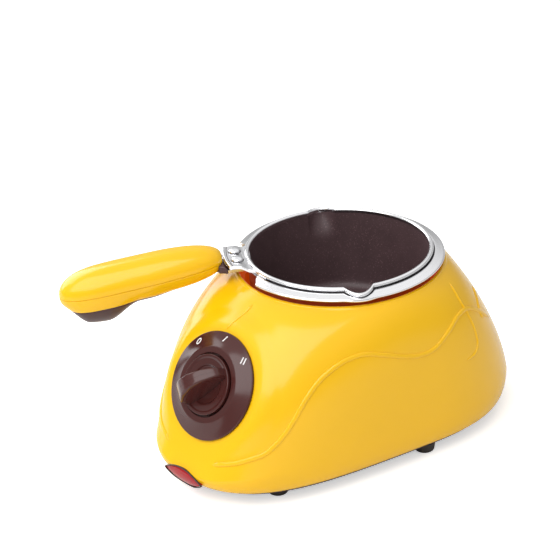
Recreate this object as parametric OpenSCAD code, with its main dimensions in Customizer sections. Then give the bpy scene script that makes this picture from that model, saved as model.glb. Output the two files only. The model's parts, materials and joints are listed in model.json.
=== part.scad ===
// Electric chocolate melting pot: an aluminium pot with a long handle that lifts off
// an egg-shaped heated stand. Millimetres, +Z up, the switch dial faces -Y.
// Plan angles are degrees from +X, seen from above.

/* [Pot] */
// Height of the pot's rim above the table
rim_z = 100; // [97:0.5:104]
// Inner radius of the pot's mouth
mouth_r = 47; // [45.5:0.5:48]
// Inner radius of the pot just above its floor
floor_r = 44; // [42:0.5:45]
// Depth inside the pot
bowl_depth = 46.5; // [45:0.5:48]
// Thickness of the pot's wall and floor
pot_wall = 1.4; // [1.2:0.1:1.8]
// Inner radius where the pot's wall turns into its floor
floor_round = 6; // [4:0.5:8]
// Radius of the rolled bead round the mouth
bead_r = 1.2; // [0.9:0.1:1.4]
// Width of the sloping band outside the mouth
band_w = 8.2; // [7.5:0.1:9]
// Drop of the sloping band
band_drop = 5; // [4.5:0.1:5.5]
// Half of the angle cut out of the band for the handle tab
band_gap_a = 28; // [26:1:32]
// Reach of each pouring spout from the pot's axis
spout_reach = 57; // [55:0.5:59]
// Radius of the channel in each spout
spout_r = 8; // [6.5:0.5:9]
// Slope of each spout's channel from the vertical
spout_a = 45; // [40:1:48]

/* [Handle] */
// Plan direction of the handle
handle_a = 237; // [225:1:245]
// Reach of the handle's end from the pot's axis
handle_reach = 147; // [135:1:155]
// Reach where the handle's shells begin
handle_start = 62; // [61.5:0.5:64]
// Fall of the handle along its length, in degrees
handle_fall_a = 6.9; // [5:0.1:8]
// Half width of the handle
handle_half_w = 13; // [11:0.5:14]
// Height of the handle's top over its parting line
handle_top_h = 11.8; // [10:0.2:13]
// Depth of the grip insert's bulge under the parting line
handle_bulge_h = 17; // [14:0.5:19]
// Depth of the handle under the parting line, before the bulge
under_h = 9.6; // [9:0.2:10.4]
// Depth of the seam of the grip insert under the parting line
lower_shell_h = 7.5; // [7.2:0.1:8.2]
// Height of the parting line over the tang's middle
parting_lift = 3.2; // [3:0.1:3.6]
// Gap left at each parting line between the handle's mouldings
parting_gap = 0.2; // [0.1:0.05:0.3]
// Half width of the tab at the pot
tab_root_w = 19; // [17:0.5:21]
// Half width of the tab at its end
tab_end_w = 12.5; // [11:0.5:14]
// Reach of the tab's end from the pot's axis
tab_reach = 60; // [58:0.5:61]
// Thickness of the handle's steel tang
tang_t = 1.5; // [1:0.1:2]
// Distance between the two rivets
rivet_gap = 10.4; // [9:0.2:12]
// Distance of the rivets from the tab's end
rivet_inset = 5.5; // [4.5:0.1:6]
// Radius of a rivet's head
rivet_head_r = 3; // [2.5:0.1:3.4]
// Radius of a rivet's shank
rivet_r = 1.5; // [1.2:0.1:1.8]

/* [Housing] */
// Half width of the housing at its girth
half_w = 70.5; // [67:0.5:74]
// Reach of the front of the girth from the pot's axis
front_reach = 114.7; // [112:0.1:118]
// Reach of the back of the girth from the pot's axis
back_reach = 86.5; // [82:0.5:92]
// Height of the girth above the table
girth_z = 22.5; // [20:0.5:25]
// Height of the girth at the nose
nose_z = 14.8; // [14:0.1:18]
// Height of the housing's lower edge above the table
skirt_z = 8; // [7:0.5:9]
// How far the housing draws in from the girth to its lower edge
tuck = 4.4; // [3:0.2:5]
// Thickness of the housing's wall
wall = 2.4; // [2:0.1:2.8]
// Gap between the pot's band and the housing's lip, seen from above
lip_gap = 0.7; // [0.5:0.1:1]
// Drop from the band's edge to the housing's lip
lip_drop = 3.3; // [3:0.1:4]
// Width of the housing's rounded lip
lip_w = 2.8; // [2.6:0.1:3.2]
// Inner radius of the well that the pot stands in
well_r = 49.6; // [49:0.1:50]
// Depth of the ledge inside the mouth, below the lip
ledge_drop = 7.5; // [7:0.5:9]

/* [Dial] */
// Radius of the dial plate
dial_r = 27.8; // [26:0.2:29]
// Distance of the dial's centre behind the tip of the nose
dial_back = 23.5; // [22:0.1:25]
// Height of the dial's centre
dial_z = 54.7; // [53:0.1:56]
// Lean of the dial's face back from the vertical
dial_lean_a = 30.5; // [29:0.5:32]
// Thickness of the dial plate at its raised middle
dial_h = 3.5; // [3:0.1:4]
// Thickness of the dial plate at its edge
dial_edge_h = 1.4; // [1:0.1:2]
// Radius of the dial plate's raised middle
dial_flat_r = 19.2; // [18:0.2:20]
// Radius of the control knob
knob_r = 15.9; // [14:0.1:17]
// Height of the knob's rim
knob_rim_h = 4.2; // [3:0.1:5]
// Height of the knob's grip blade
knob_blade_h = 12; // [10:0.5:14]
// Thickness of the grip blade at its root
knob_blade_t = 6.6; // [5:0.2:8]
// Angle of the grip blade on the dial, from its right-hand side
knob_a = 42; // [30:1:60]
// Radius of the switch shaft
shaft_r = 2; // [1.8:0.1:2.2]

/* [Lens] */
// Width of the indicator lens
lens_w = 28; // [24:0.5:30]
// Height of the indicator lens
lens_h = 9.4; // [8:0.2:10]
// Height of the lens's centre above the table
lens_z = 12; // [11.8:0.1:13]
// How far the lens stands proud of the housing
lens_proud = 0.8; // [0.5:0.1:1.2]

/* [Base] */
// Thickness of the base plate
base_t = 2.4; // [2:0.1:3]
// How far the base plate's edge lies inside the housing's lower edge
base_inset = 2; // [1.8:0.1:2.2]
// Height of the locating rib on the base plate
rib_h = 3; // [2:0.5:4]
// Thickness of the locating rib
rib_t = 1.6; // [1.2:0.1:2]
// Radius of a rubber foot
foot_r = 6; // [5:0.2:6.4]
// Radius of the stem that holds a foot in the base plate
foot_stem_r = 2.5; // [2:0.1:3]
// Radius of the screw posts in the housing
post_r = 4.5; // [4:0.1:5]
// Height of the tops of the screw posts
post_top_z = 62; // [50:1:70]
// Radius of a screw's shank
screw_r = 1.45; // [1.2:0.05:1.6]
// Radius of a screw's head
screw_head_r = 3; // [2.6:0.1:3.4]

/* [Heater] */
// Radius of the heating plate
heat_r = 44.5; // [43:0.5:46]
// Thickness of the heating plate
heat_t = 3; // [2.5:0.1:3.5]
// Radius of the ring of the heating element
element_ring_r = 28; // [26:0.5:29]
// Radius of the heating element's tube
element_tube_r = 3.2; // [2.8:0.1:3.4]
// Depth of the heat shield's pan
shield_depth = 14; // [13:0.5:16]
// Thickness of the heat shield's sheet
shield_t = 0.8; // [0.6:0.1:1]

/* [Cord inlet] */
// Height of the cord inlet's centre above the table
inlet_z = 22; // [20:0.5:24]
// Inner radius of the inlet bush
inlet_r = 3.2; // [2.8:0.1:3.6]
// Outer radius of the inlet bush in the wall
bush_r = 5; // [4.6:0.1:5.6]
// Radius of the inlet bush's flange
bush_flange_r = 7; // [6.4:0.2:8]

/* [Hidden] */

// Overrun of every cut past the face that it opens
over = 1;
// Clearances: between seated pieces, round a pressed pin, and of a running fit
seat_gap = 0.15;
pin_gap = 0.05;
// Smoothness of the true curves
$fn = 96;

// Shape of the egg: powers of its plan curve, its taper, and how narrow its front flank is
front_power = 2.7;
back_power = 2.35;
egg_share = 0.2;
front_blend_power = 8.8;
// Flank curve from girth to lip, as shares of its run and rise, for front, side and back
first_rise_shares = [0.31, 0.57, 0.19];
first_lean_shares = [0.31, 0.035, 0.13];
second_run_shares = [0.48, 0.68, 0.38];
second_fall_shares = [0.14, 0.14, 0.32];

rings_flank = 13;
rings_skirt = 4;
rings_inner = 8;
spokes = 80;
skirt_share = rings_skirt / (rings_skirt + rings_flank - 1);
// Steps that measure the surface's slope
small_a = 1;
small_share = 0.01;

pi_half_turn = 180;
band_r = mouth_r + band_w;
band_z = rim_z - band_drop;
lip_r = band_r + lip_gap;
lip_z = band_z - lip_drop;
mouth_wall_r = lip_r - lip_w;
rivet_reach = tab_reach - rivet_inset;
dial_reach = front_reach - dial_back;
ledge_z = lip_z - ledge_drop;
bowl_floor_z = rim_z - bowl_depth;
heat_z = bowl_floor_z - pot_wall;
well_floor_z = heat_z - heat_t;
well_floor_r = heat_r - 3 * wall;
well_wall_r = well_r + wall;
shaft_bore_r = shaft_r + pin_gap;

// Where the overall box is centred, so that the origin lies under its middle
handle_rings = 22;
bush_lip_t = 1.6;
handle_plan = [for (i = [0:handle_rings], s = [-1, 1]) handle_spot(i / handle_rings, s)];
handle_low_x = min([for (p = handle_plan) p.x]);
handle_low_y = min([for (p = handle_plan) p.y]);
girth_high_x = max([for (i = [0:spokes - 1]) girth(i * 360 / spokes).x]);
origin_x = -(handle_low_x + girth_high_x) / 2;
origin_y = -(handle_low_y + back_reach + bush_lip_t + seat_gap) / 2;

// Signed power, for superellipses
function pw(v, k) = sign(v) * pow(abs(v), k);
function unit(v) = v / norm(v);

// Girth of the housing at plan angle a: a superellipse that narrows towards the front
function plan_r(a) =
    let (power = sin(a) < 0 ? front_power : back_power,
         reach = sin(a) < 0 ? front_reach : back_reach)
    pow(pow(abs(cos(a)) / half_w, power) + pow(abs(sin(a)) / reach, power), -1 / power);
function girth(a) = [plan_r(a) * cos(a) * (1 + egg_share * sin(a)), plan_r(a) * sin(a)];

// Blends the front, side and back values of a flank share at plan angle a
function around(a, shares) =
    let (front = pow(max(-sin(a), 0), front_blend_power), back = pow(max(sin(a), 0), 2))
    shares[0] * front + shares[2] * back + shares[1] * (1 - front - back);

// Height of the girth at plan angle a: it dips at the nose
function girth_level(a) = around(a, [nose_z, girth_z, girth_z]);

// Point of the housing's flank: a cubic curve from the girth (t = 0) to the lip (t = 1)
function flank(a, t) =
    let (g = girth(a),
         l = lip_r * [cos(a), sin(a)],
         c1 = 3 * t * pow(1 - t, 2),
         c2 = 3 * t * t * (1 - t),
         run = pow(1 - t, 3) + c1 * (1 - around(a, first_lean_shares)) + c2 * around(a, second_run_shares),
         rise = c1 * around(a, first_rise_shares) + c2 * (1 - around(a, second_fall_shares)) + t * t * t,
         p = l + (g - l) * run)
    [p.x, p.y, girth_level(a) + (lip_z - girth_level(a)) * rise];

// Point of the housing's skirt: drawn in from the girth (v = 1) to the lower edge (v = 0)
function skirt(a, v) =
    let (p = girth(a) * (1 - tuck * (1 - sqrt(v * (2 - v))) / half_w))
    [p.x, p.y, skirt_z + (girth_level(a) - skirt_z) * v];

// The whole outer surface, with w from 0 at the lower edge to 1 at the lip
function outer(a, w) =
    w < skirt_share ? skirt(a, w / skirt_share) : flank(a, (w - skirt_share) / (1 - skirt_share));

// The inner surface lies one wall inside the outer one, along its normal
function inner(a, w) =
    let (low = max(w - small_share, 0),
         high = min(w + small_share, 1),
         n = unit(cross(outer(a + small_a, w) - outer(a - small_a, w), outer(a, high) - outer(a, low))),
         p = outer(a, w) - wall * n)
    [p.x, p.y, w == 0 ? skirt_z : p.z];

// Ring of points at one level
function ring(w, inside = false) =
    [for (i = [0:spokes - 1]) inside ? inner(i * 360 / spokes, w) : outer(i * 360 / spokes, w)];
function circle_ring(r, z) =
    [for (i = [0:spokes - 1]) [r * cos(i * 360 / spokes), r * sin(i * 360 / spokes), z]];

// Joins rings of equal size into triangles; closed joins the last ring to the first
function ring_faces(count, size, closed) =
    [for (j = [0:count - (closed ? 1 : 2)], i = [0:size - 1], half = [0, 1])
        let (a = j * size + i,
             b = j * size + (i + 1) % size,
             c = ((j + 1) % count) * size + (i + 1) % size,
             d = ((j + 1) % count) * size + i)
        half == 0 ? [a, c, b] : [a, d, c]];

module loft(rings, closed = false) {
    size = len(rings[0]);
    count = len(rings);
    points = [for (r = rings, p = r) p];
    caps = closed ? [] : [[for (i = [0:size - 1]) i],
                          [for (i = [size - 1:-1:0]) (count - 1) * size + i]];
    polyhedron(points, concat(ring_faces(count, size, closed), caps), convexity = 6);
}

// Places of the pieces that share a frame
module at_origin() {
    translate([origin_x, origin_y, 0]) children();
}
module on_dial() {
    at_origin() translate([0, -dial_reach, dial_z]) rotate([90 - dial_lean_a, 0, 0]) children();
}
module on_handle() {
    at_origin() rotate([0, 0, handle_a]) children();
}

// Housing

rings_outer = rings_skirt + rings_flank - 1;
shell_rings = concat(
    [for (j = [0:rings_outer]) ring(j / rings_outer)],
    [circle_ring(lip_r - 0.3 * lip_w, lip_z + 0.25 * lip_w),
     circle_ring(lip_r - 0.7 * lip_w, lip_z + 0.15 * lip_w)],
    [for (j = [rings_inner:-1:0]) ring(j / rings_inner, inside = true)]
);

// Ledge, well and well floor inside the mouth, as one turned profile
module well() {
    rotate_extrude()
        polygon([
            [mouth_wall_r, lip_z],
            [mouth_wall_r, ledge_z],
            [well_r, ledge_z],
            [well_r, well_floor_z],
            [well_floor_r, well_floor_z],
            [well_floor_r, well_floor_z - wall],
            [well_wall_r, well_floor_z - wall],
            [well_wall_r, ledge_z - wall],
            [mouth_wall_r + wall, ledge_z - wall],
            [mouth_wall_r + wall, lip_z]
        ]);
}

post_angles = [40, 140, 220, 320];
post_ring_r = well_wall_r + post_r - wall / 2;
post_hole_r = screw_r + pin_gap;
post_hole_depth = 12;
module at_posts() {
    for (a = post_angles)
        rotate([0, 0, a]) translate([post_ring_r, 0, 0]) children();
}

boss_r = dial_r + wall / 2;
boss_depth = 7;
pocket_r = 18;
neck_r = 4.5;
peg_r = 1.5;
peg_ring_r = 23;
peg_depth = 4;
module housing() {
    color("gold") difference() {
        union() {
            at_origin() loft(shell_rings, closed = true);
            at_origin() well();
            at_origin() at_posts() translate([0, 0, skirt_z]) cylinder(h = post_top_z - skirt_z, r = post_r);
            on_dial() translate([0, 0, -boss_depth]) cylinder(h = boss_depth, r = boss_r);
        }
        at_origin() at_posts() translate([0, 0, skirt_z - over]) cylinder(h = post_hole_depth + over, r = post_hole_r);
        on_dial() translate([0, 0, -boss_depth - wall]) cylinder(h = boss_depth, r = pocket_r);
        on_dial() translate([0, 0, -boss_depth]) cylinder(h = boss_depth + over, r = neck_r + 2 * seat_gap);
        on_dial() cylinder(h = 2 * dial_r, r = dial_r + seat_gap);
        on_dial() for (x = [-peg_ring_r, peg_ring_r])
            translate([x, 0, -peg_depth]) cylinder(h = peg_depth + over, r = peg_r + pin_gap);
        at_origin() lens_blank(seat_gap, front_reach / 8);
        at_origin() translate([0, back_reach + over, inlet_z]) rotate([90, 0, 0])
            cylinder(h = 2 * wall + 2 * over, r = bush_r + pin_gap);
        at_origin() for (a = heater_screw_angles)
            rotate([0, 0, a]) translate([heater_screw_ring_r, 0, well_floor_z - wall - over])
                cylinder(h = wall + 2 * over, r = heater_screw_r + seat_gap);
    }
}

// Indicator lens: an almond, rounded in plan to follow the housing's nose

nose_r = 62;
nose_y = -front_reach + tuck / 2;
module almond(grow) {
    arc_r = (pow(lens_w / 2, 2) + pow(lens_h / 2, 2)) / lens_h;
    intersection_for(s = [-1, 1])
        translate([0, s * (arc_r - lens_h / 2)]) circle(r = arc_r + grow);
}
module lens_blank(grow, depth) {
    translate([0, nose_y + depth, lens_z]) rotate([90, 0, 0])
        linear_extrude(depth + nose_r / 4) almond(grow);
}
module indicator_lens() {
    color("firebrick") at_origin() intersection() {
        lens_blank(0, lens_depth);
        translate([0, lens_front_y + nose_r, 0]) cylinder(h = rim_z, r = nose_r);
        translate([-lens_w, lens_front_y + lens_round_r, lens_round_z]) rotate([0, 90, 0])
            cylinder(h = 2 * lens_w, r = lens_round_r);
    }
}
lens_depth = 6;
lens_front_y = -front_reach - lens_proud;
lens_round_r = 0.64 * lens_h;
lens_round_z = lens_z + 0.13 * lens_h;
bulb_r = 2.8;
bulb_l = 9;
bulb_gap = 0.6;
holder_w = 8;
holder_l = 7;
lamp_y = nose_y + lens_depth + bulb_gap + bulb_r + bulb_l - holder_l / 2;

// Base plate, with the locating rib, feet and screws

function base_outline(inset) =
    [for (i = [0:spokes - 1])
        let (a = i * 360 / spokes,
             p = skirt(a, 0),
             d = skirt(a + small_a, 0) - skirt(a - small_a, 0),
             n = unit([d.y, -d.x]))
        [p.x, p.y] - inset * n];

base_z = skirt_z - base_t;
foot_side_shares = [0.447, 0.83, 0.48];
foot_reach_shares = [-0.688, 0.012, 0.67];
function foot_spot(row, side) =
    let (reach = foot_reach_shares[row] < 0 ? front_reach : back_reach)
    [side * half_w * foot_side_shares[row], reach * foot_reach_shares[row], 0];

vent_w = 3;
vent_l = 26;
vent_pitch = 7;
vent_rows = 5;
module vent() {
    translate([-vent_l / 2, -vent_w / 2, base_z - over]) cube([vent_l, vent_w, base_t + 2 * over]);
    for (x = [-vent_l / 2, vent_l / 2])
        translate([x, 0, base_z - over]) cylinder(h = base_t + 2 * over, r = vent_w / 2, $fn = 32);
}
module base_plate() {
    color("saddlebrown") at_origin() difference() {
        union() {
            translate([0, 0, base_z]) linear_extrude(base_t) polygon(base_outline(base_inset));
            translate([0, 0, base_z]) linear_extrude(base_t + rib_h) difference() {
                polygon(base_outline(wall + 2 * seat_gap));
                polygon(base_outline(wall + 2 * seat_gap + rib_t));
            }
            translate([0, lamp_y, skirt_z - over / 2]) lamp_post();
        }
        at_posts() translate([0, 0, base_z - over]) cylinder(h = base_t + 2 * over, r = screw_r + seat_gap);
        at_posts() translate([0, 0, skirt_z]) cylinder(h = rib_h + over, r = post_r + seat_gap);
        for (row = [0:2], side = [-1, 1])
            translate(foot_spot(row, side) + [0, 0, base_z - over])
                cylinder(h = base_t + 2 * over, r = foot_stem_r + pin_gap);
        for (i = [0:vent_rows - 1])
            translate([0, (i - (vent_rows - 1) / 2) * vent_pitch, 0]) vent();
        translate([0, nose_y + lens_depth, lens_z]) rotate([90, 0, 0])
            linear_extrude(front_reach) almond(seat_gap);
        for (x = block_screw_xs)
            translate([x, block_y, base_z - over]) cylinder(h = base_t + 2 * over, r = screw_r + pin_gap);
    }
}
// Forked post that carries the lamp holder
lamp_post_w = 9;
module lamp_post() {
    translate([-lamp_post_w / 2, 0, 0]) cube([lamp_post_w, 2 * wall, over / 2 + wall]);
}

foot_flat_r = foot_r;
module rubber_foot() {
    cylinder(h = base_z, r = foot_flat_r);
    translate([0, 0, base_z]) cylinder(h = base_t + seat_gap, r = foot_stem_r);
    translate([0, 0, skirt_z + seat_gap]) cylinder(h = wall / 2, r = foot_stem_r + wall / 4);
}
module feet(row) {
    color("dimgray") at_origin() for (side = [-1, 1])
        translate(foot_spot(row, side)) rubber_foot();
}
module feet_front() { feet(0); }
module feet_side() { feet(1); }
module feet_rear() { feet(2); }

// Pan-head screw pointing up, its head's seat at z = 0
module screw(length, shank_r, head_r) {
    translate([0, 0, -0.7 * head_r]) cylinder(h = 0.7 * head_r, r = head_r);
    cylinder(h = length, r = shank_r);
}
module base_screws() {
    color("silver") at_origin() at_posts()
        translate([0, 0, base_z]) screw(base_t + post_hole_depth - over, screw_r, screw_head_r);
}

// Dial plate, knob and switch, on the dial's axis

module dial_plate() {
    color("#3f2624") on_dial() {
        rotate_extrude()
            polygon([
                [nut_r + over, 0],
                [dial_r, 0],
                [dial_r, dial_edge_h],
                [dial_flat_r, dial_h],
                [nut_r + over, dial_h]
            ]);
        for (x = [-peg_ring_r, peg_ring_r])
            translate([x, 0, -peg_depth + seat_gap]) cylinder(h = peg_depth, r = peg_r);
    }
}

knob_z = dial_h + 2 * seat_gap;
knob_dish_r = knob_r - 1.6;
knob_floor_h = knob_rim_h / 2;
knob_top_t = knob_blade_t / 2;
module control_knob() {
    color("#52302c") on_dial() translate([0, 0, knob_z]) difference() {
        union() {
            rotate_extrude()
                polygon([
                    [0, 0],
                    [knob_r, 0],
                    [knob_r, knob_rim_h - 0.2 * knob_rim_h],
                    [knob_r - 0.2 * knob_rim_h, knob_rim_h],
                    [knob_dish_r, knob_rim_h],
                    [knob_dish_r - knob_floor_h, knob_floor_h],
                    [0, knob_floor_h]
                ]);
            intersection() {
                rotate([0, 0, knob_a]) rotate([90, 0, 90]) linear_extrude(2 * knob_r, center = true)
                    polygon([
                        [-knob_blade_t / 2, over / 2],
                        [knob_blade_t / 2, over / 2],
                        [knob_top_t / 2, knob_blade_h],
                        [-knob_top_t / 2, knob_blade_h]
                    ]);
                cylinder(h = knob_blade_h, r1 = knob_r - over / 2, r2 = knob_dish_r - over);
            }
        }
        translate([0, 0, -over]) cylinder(h = knob_bore_h + over, r = shaft_bore_r);
    }
}
knob_bore_h = 0.42 * knob_blade_h;

nut_r = 7;
nut_h = 2.4;
switch_w = 25;
switch_h = 15;
shaft_depth = 0.6 * switch_h;
switch_top = -wall;
module switch_shaft() {
    color("silver") on_dial() translate([0, 0, switch_top - shaft_depth])
        cylinder(h = shaft_depth - switch_top + knob_z + knob_bore_h - 2 * seat_gap, r = shaft_r);
}
module rotary_switch() {
    color("ivory") on_dial() difference() {
        union() {
            translate([-switch_w / 2, -switch_w / 2, switch_top - switch_h]) cube([switch_w, switch_w, switch_h]);
            translate([0, 0, switch_top]) cylinder(h = nut_h - switch_top + seat_gap, r = neck_r);
        }
        translate([0, 0, switch_top - shaft_depth - seat_gap])
            cylinder(h = shaft_depth + nut_h - switch_top + over, r = shaft_bore_r);
        for (x = blade_xs)
            translate([x - blade_w / 2 - pin_gap, -blade_t / 2 - pin_gap, switch_top - switch_h - over])
                cube([blade_w + 2 * pin_gap, blade_t + 2 * pin_gap, over + blade_in]);
    }
}
module switch_nut() {
    color("silver") on_dial() difference() {
        cylinder(h = nut_h, r = nut_r, $fn = 6);
        translate([0, 0, -over]) cylinder(h = nut_h + 2 * over, r = neck_r + pin_gap);
    }
}
blade_w = 4.8;
blade_t = 0.8;
blade_in = 3;
blade_out = 8;
blade_xs = [-8, 0, 8];
module switch_terminals() {
    color("gold") on_dial() for (x = blade_xs)
        translate([x - blade_w / 2, -blade_t / 2, switch_top - switch_h - blade_out])
            cube([blade_w, blade_t, blade_in + blade_out]);
}

// Lamp behind the lens

holder_z = skirt_z + wall;
module pilot_lamp() {
    color("orange") at_origin() translate([0, lamp_y, holder_z + holder_w / 2]) rotate([90, 0, 0]) {
        translate([0, 0, -holder_l / 2]) cylinder(h = bulb_l, r = bulb_r);
        translate([0, 0, bulb_l - holder_l / 2]) sphere(r = bulb_r);
    }
}
module lamp_holder() {
    color("white") at_origin() difference() {
        translate([-holder_w / 2, lamp_y - over, holder_z]) cube([holder_w, holder_l, holder_w]);
        translate([0, lamp_y + holder_l / 2 + pin_gap, holder_z + holder_w / 2]) rotate([90, 0, 0])
            cylinder(h = holder_l + over, r = bulb_r + pin_gap);
    }
}

// Pot: turned bowl with bead and sloping band, spouts, and the tab for the handle

band_t = pot_wall - 0.2;
bowl_out_r = mouth_r + pot_wall;
arc_steps = 6;
function arc(centre, r, from, to) =
    [for (i = [0:arc_steps]) let (a = from + (to - from) * i / arc_steps) centre + r * [cos(a), sin(a)]];
// Half sections, from the axis outwards: the space inside the pot and the pot's outside
cavity_section = concat(
    [[0, bowl_floor_z]],
    arc([floor_r - floor_round, bowl_floor_z + floor_round], floor_round, -90, 0),
    [[mouth_r, rim_z - bead_r],
     [mouth_r, rim_z + over],
     [0, rim_z + over]]
);
outside_section = concat(
    [[0, heat_z]],
    arc([floor_r + pot_wall - floor_round, heat_z + floor_round], floor_round, -90, 0),
    [[bowl_out_r, rim_z - 2 * bead_r - band_t]],
    arc([band_r - band_t / 2, band_z], band_t / 2, -120, 60),
    arc([mouth_r + bead_r, rim_z - bead_r], bead_r, -20, 180),
    [[0, rim_z - bead_r]]
);
module bowl_cavity() {
    rotate_extrude() polygon(cavity_section);
}
// What is cut out of the band to free the tab
module band_gap() {
    rotate([0, 0, handle_a]) translate([0, 0, band_z - pot_wall]) linear_extrude(rim_z - band_z)
        difference() {
            polygon([
                [0, 0],
                [2 * band_r * cos(band_gap_a), -2 * band_r * sin(band_gap_a)],
                [2 * band_r, 0],
                [2 * band_r * cos(band_gap_a), 2 * band_r * sin(band_gap_a)]
            ]);
            circle(r = bowl_out_r + bead_r);
        }
}
tab_root_a = asin(tab_root_w / (mouth_r + bead_r));
tab_z = rim_z - 2 * bead_r + seat_gap;
module tab_plate(z, t, reach, grow = 0) {
    root = mouth_r * cos(tab_root_a);
    translate([0, 0, z]) linear_extrude(t)
        polygon([
            [root, -tab_root_w],
            [reach - bead_r, -tab_end_w - grow],
            [reach, -tab_end_w + bead_r],
            [reach, tab_end_w - bead_r],
            [reach - bead_r, tab_end_w + grow],
            [root, tab_root_w]
        ]);
}
// Tilted channel that opens at the rim; grow gives the outside of its wall
module spout(grow) {
    run = spout_r / cos(spout_a);
    for (s = [-1, 1])
        rotate([0, 0, handle_a + 90 * s]) translate([spout_reach - run, 0, rim_z]) rotate([0, spout_a, 0])
            translate([0, 0, -2 * spout_r]) cylinder(h = 4 * spout_r, r = spout_r + grow);
}
module pot_bowl() {
    color("gainsboro") at_origin() difference() {
        union() {
            difference() {
                rotate_extrude() polygon(outside_section);
                band_gap();
            }
            intersection() {
                spout(pot_wall);
                translate([0, 0, rim_z - 1.6 * spout_r]) cylinder(h = 1.6 * spout_r - seat_gap, r = 2 * mouth_r);
            }
            rotate([0, 0, handle_a]) tab_plate(tab_z, pot_wall, tab_reach);
        }
        bowl_cavity();
        spout(0);
        rotate([0, 0, handle_a]) at_rivets() translate([0, 0, tab_z - over])
            cylinder(h = pot_wall + 2 * over, r = rivet_r + pin_gap);
    }
}
module at_rivets() {
    for (s = [-1, 1])
        translate([rivet_reach, s * rivet_gap / 2, 0]) children();
}
rivet_head_h = 1.6;
module rivets() {
    color("silver") on_handle() at_rivets() {
        translate([0, 0, tab_z + pot_wall]) {
            cylinder(h = rivet_head_h / 2, r = rivet_head_r);
            translate([0, 0, rivet_head_h / 2]) cylinder(h = rivet_head_h / 2, r1 = rivet_head_r, r2 = rivet_r);
        }
        translate([0, 0, tang_z]) cylinder(h = tang_t + pot_wall, r = rivet_r);
        translate([0, 0, tang_z - rivet_head_h / 2]) cylinder(h = rivet_head_h / 2, r = rivet_r + rivet_head_h / 2);
    }
}

// Handle: steel tang in a brown core, two yellow shells and a brown grip insert

tang_z = tab_z - tang_t;
tang_mid_z = tang_z + tang_t / 2;
tang_w = 18;
tang_inner_w = 8;
tang_start = rivet_reach - 3.5;
tang_end_share = 0.5;
tang_end = handle_start + tang_end_share * (handle_reach - handle_start);
handle_slope = tan(handle_fall_a);
// Line of the tang's middle, and the parting line of the shells above it
function tang_mid(u) = tang_mid_z - max(u - handle_start, 0) * handle_slope;
function handle_mid(u) = tang_mid_z + parting_lift - (u - handle_start) * handle_slope;

// Side outline along the tang's line, between a lower and an upper height over it
module tang_zone(from, to, low, high) {
    polygon([
        [from, tang_mid(from) + low],
        [handle_start, tang_mid_z + low],
        [to, tang_mid(to) + low],
        [to, tang_mid(to) + high],
        [handle_start, tang_mid_z + high],
        [from, tang_mid(from) + high]
    ]);
}
// Raises a side outline to a width that is even on both sides of the handle
module across(width) {
    translate([0, width / 2, 0]) rotate([90, 0, 0]) linear_extrude(width) children();
}
module tang_plan(grow) {
    wide = tang_w / 2 + grow;
    narrow = tang_inner_w / 2 + grow;
    translate([0, 0, tang_z - rim_z / 2]) linear_extrude(rim_z)
        polygon([
            [tang_start, -wide],
            [tab_reach, -wide],
            [handle_start + collar_l, -narrow],
            [tang_end + grow, -narrow],
            [tang_end + grow, narrow],
            [handle_start + collar_l, narrow],
            [tab_reach, wide],
            [tang_start, wide]
        ]);
}
module tang_blank(grow) {
    intersection() {
        across(2 * tang_w) tang_zone(tang_start, tang_end + grow, -tang_t / 2 - grow, tang_t / 2 + grow);
        tang_plan(grow);
    }
}
module handle_tang() {
    color("silver") on_handle() difference() {
        tang_blank(0);
        at_rivets() translate([0, 0, tang_z - over]) cylinder(h = tang_t + 2 * over, r = rivet_r + pin_gap);
        at_handle_screws() cylinder(h = 2 * handle_top_h, r = handle_screw_r + seat_gap, center = true);
    }
}

// Core: a collar that shows between the tab and the shells, and a bar inside them
collar_l = 2.5;
collar_w = 19;
collar_end_w = 15;
core_start = tab_reach + seat_gap;
core_w = 10;
core_h = 3.3;
core_end_share = 0.62;
core_end = handle_start + core_end_share * (handle_reach - handle_start);
module core_bar(grow) {
    across(core_w + 2 * grow)
        tang_zone(handle_start - over, core_end + grow, -core_h / 2 - grow, core_h / 2 + grow);
}
module collar(grow) {
    top = parting_lift - seat_gap + grow;
    nose_h = tang_t / 2 + 0.7 * pot_wall + grow;
    end = handle_start + collar_l + grow;
    intersection() {
        across(2 * collar_w)
            polygon([
                [core_start, tang_mid_z - nose_h],
                [handle_start, tang_mid_z - core_h / 2 - grow],
                [end, tang_mid(end) - core_h / 2 - grow],
                [end, tang_mid(end) + top],
                [handle_start, tang_mid_z + top],
                [core_start, tang_mid_z + nose_h]
            ]);
        translate([0, 0, tang_z - rim_z / 2]) linear_extrude(rim_z)
            polygon([
                [core_start, -collar_w / 2 - grow],
                [end, -collar_end_w / 2 - grow],
                [end, collar_end_w / 2 + grow],
                [core_start, collar_w / 2 + grow]
            ]);
    }
}
module handle_core() {
    color("#5c3a34") on_handle() difference() {
        union() {
            core_bar(0);
            collar(0);
        }
        tang_blank(pin_gap);
        at_handle_screws() cylinder(h = core_h * 4, r = handle_screw_r + pin_gap, center = true);
    }
}
handle_screw_r = 1.1;
handle_screw_head_r = 2.1;
handle_screw_hold = 4.5;
handle_screw_shares = [0.36, 0.56];
// Screw places along the handle, each turned square to the falling parting line
module at_handle_screws() {
    for (share = handle_screw_shares)
        let (u = handle_start + share * (handle_reach - handle_start))
            translate([u, 0, handle_mid(u)]) rotate([0, handle_fall_a, 0]) children();
}

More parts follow.
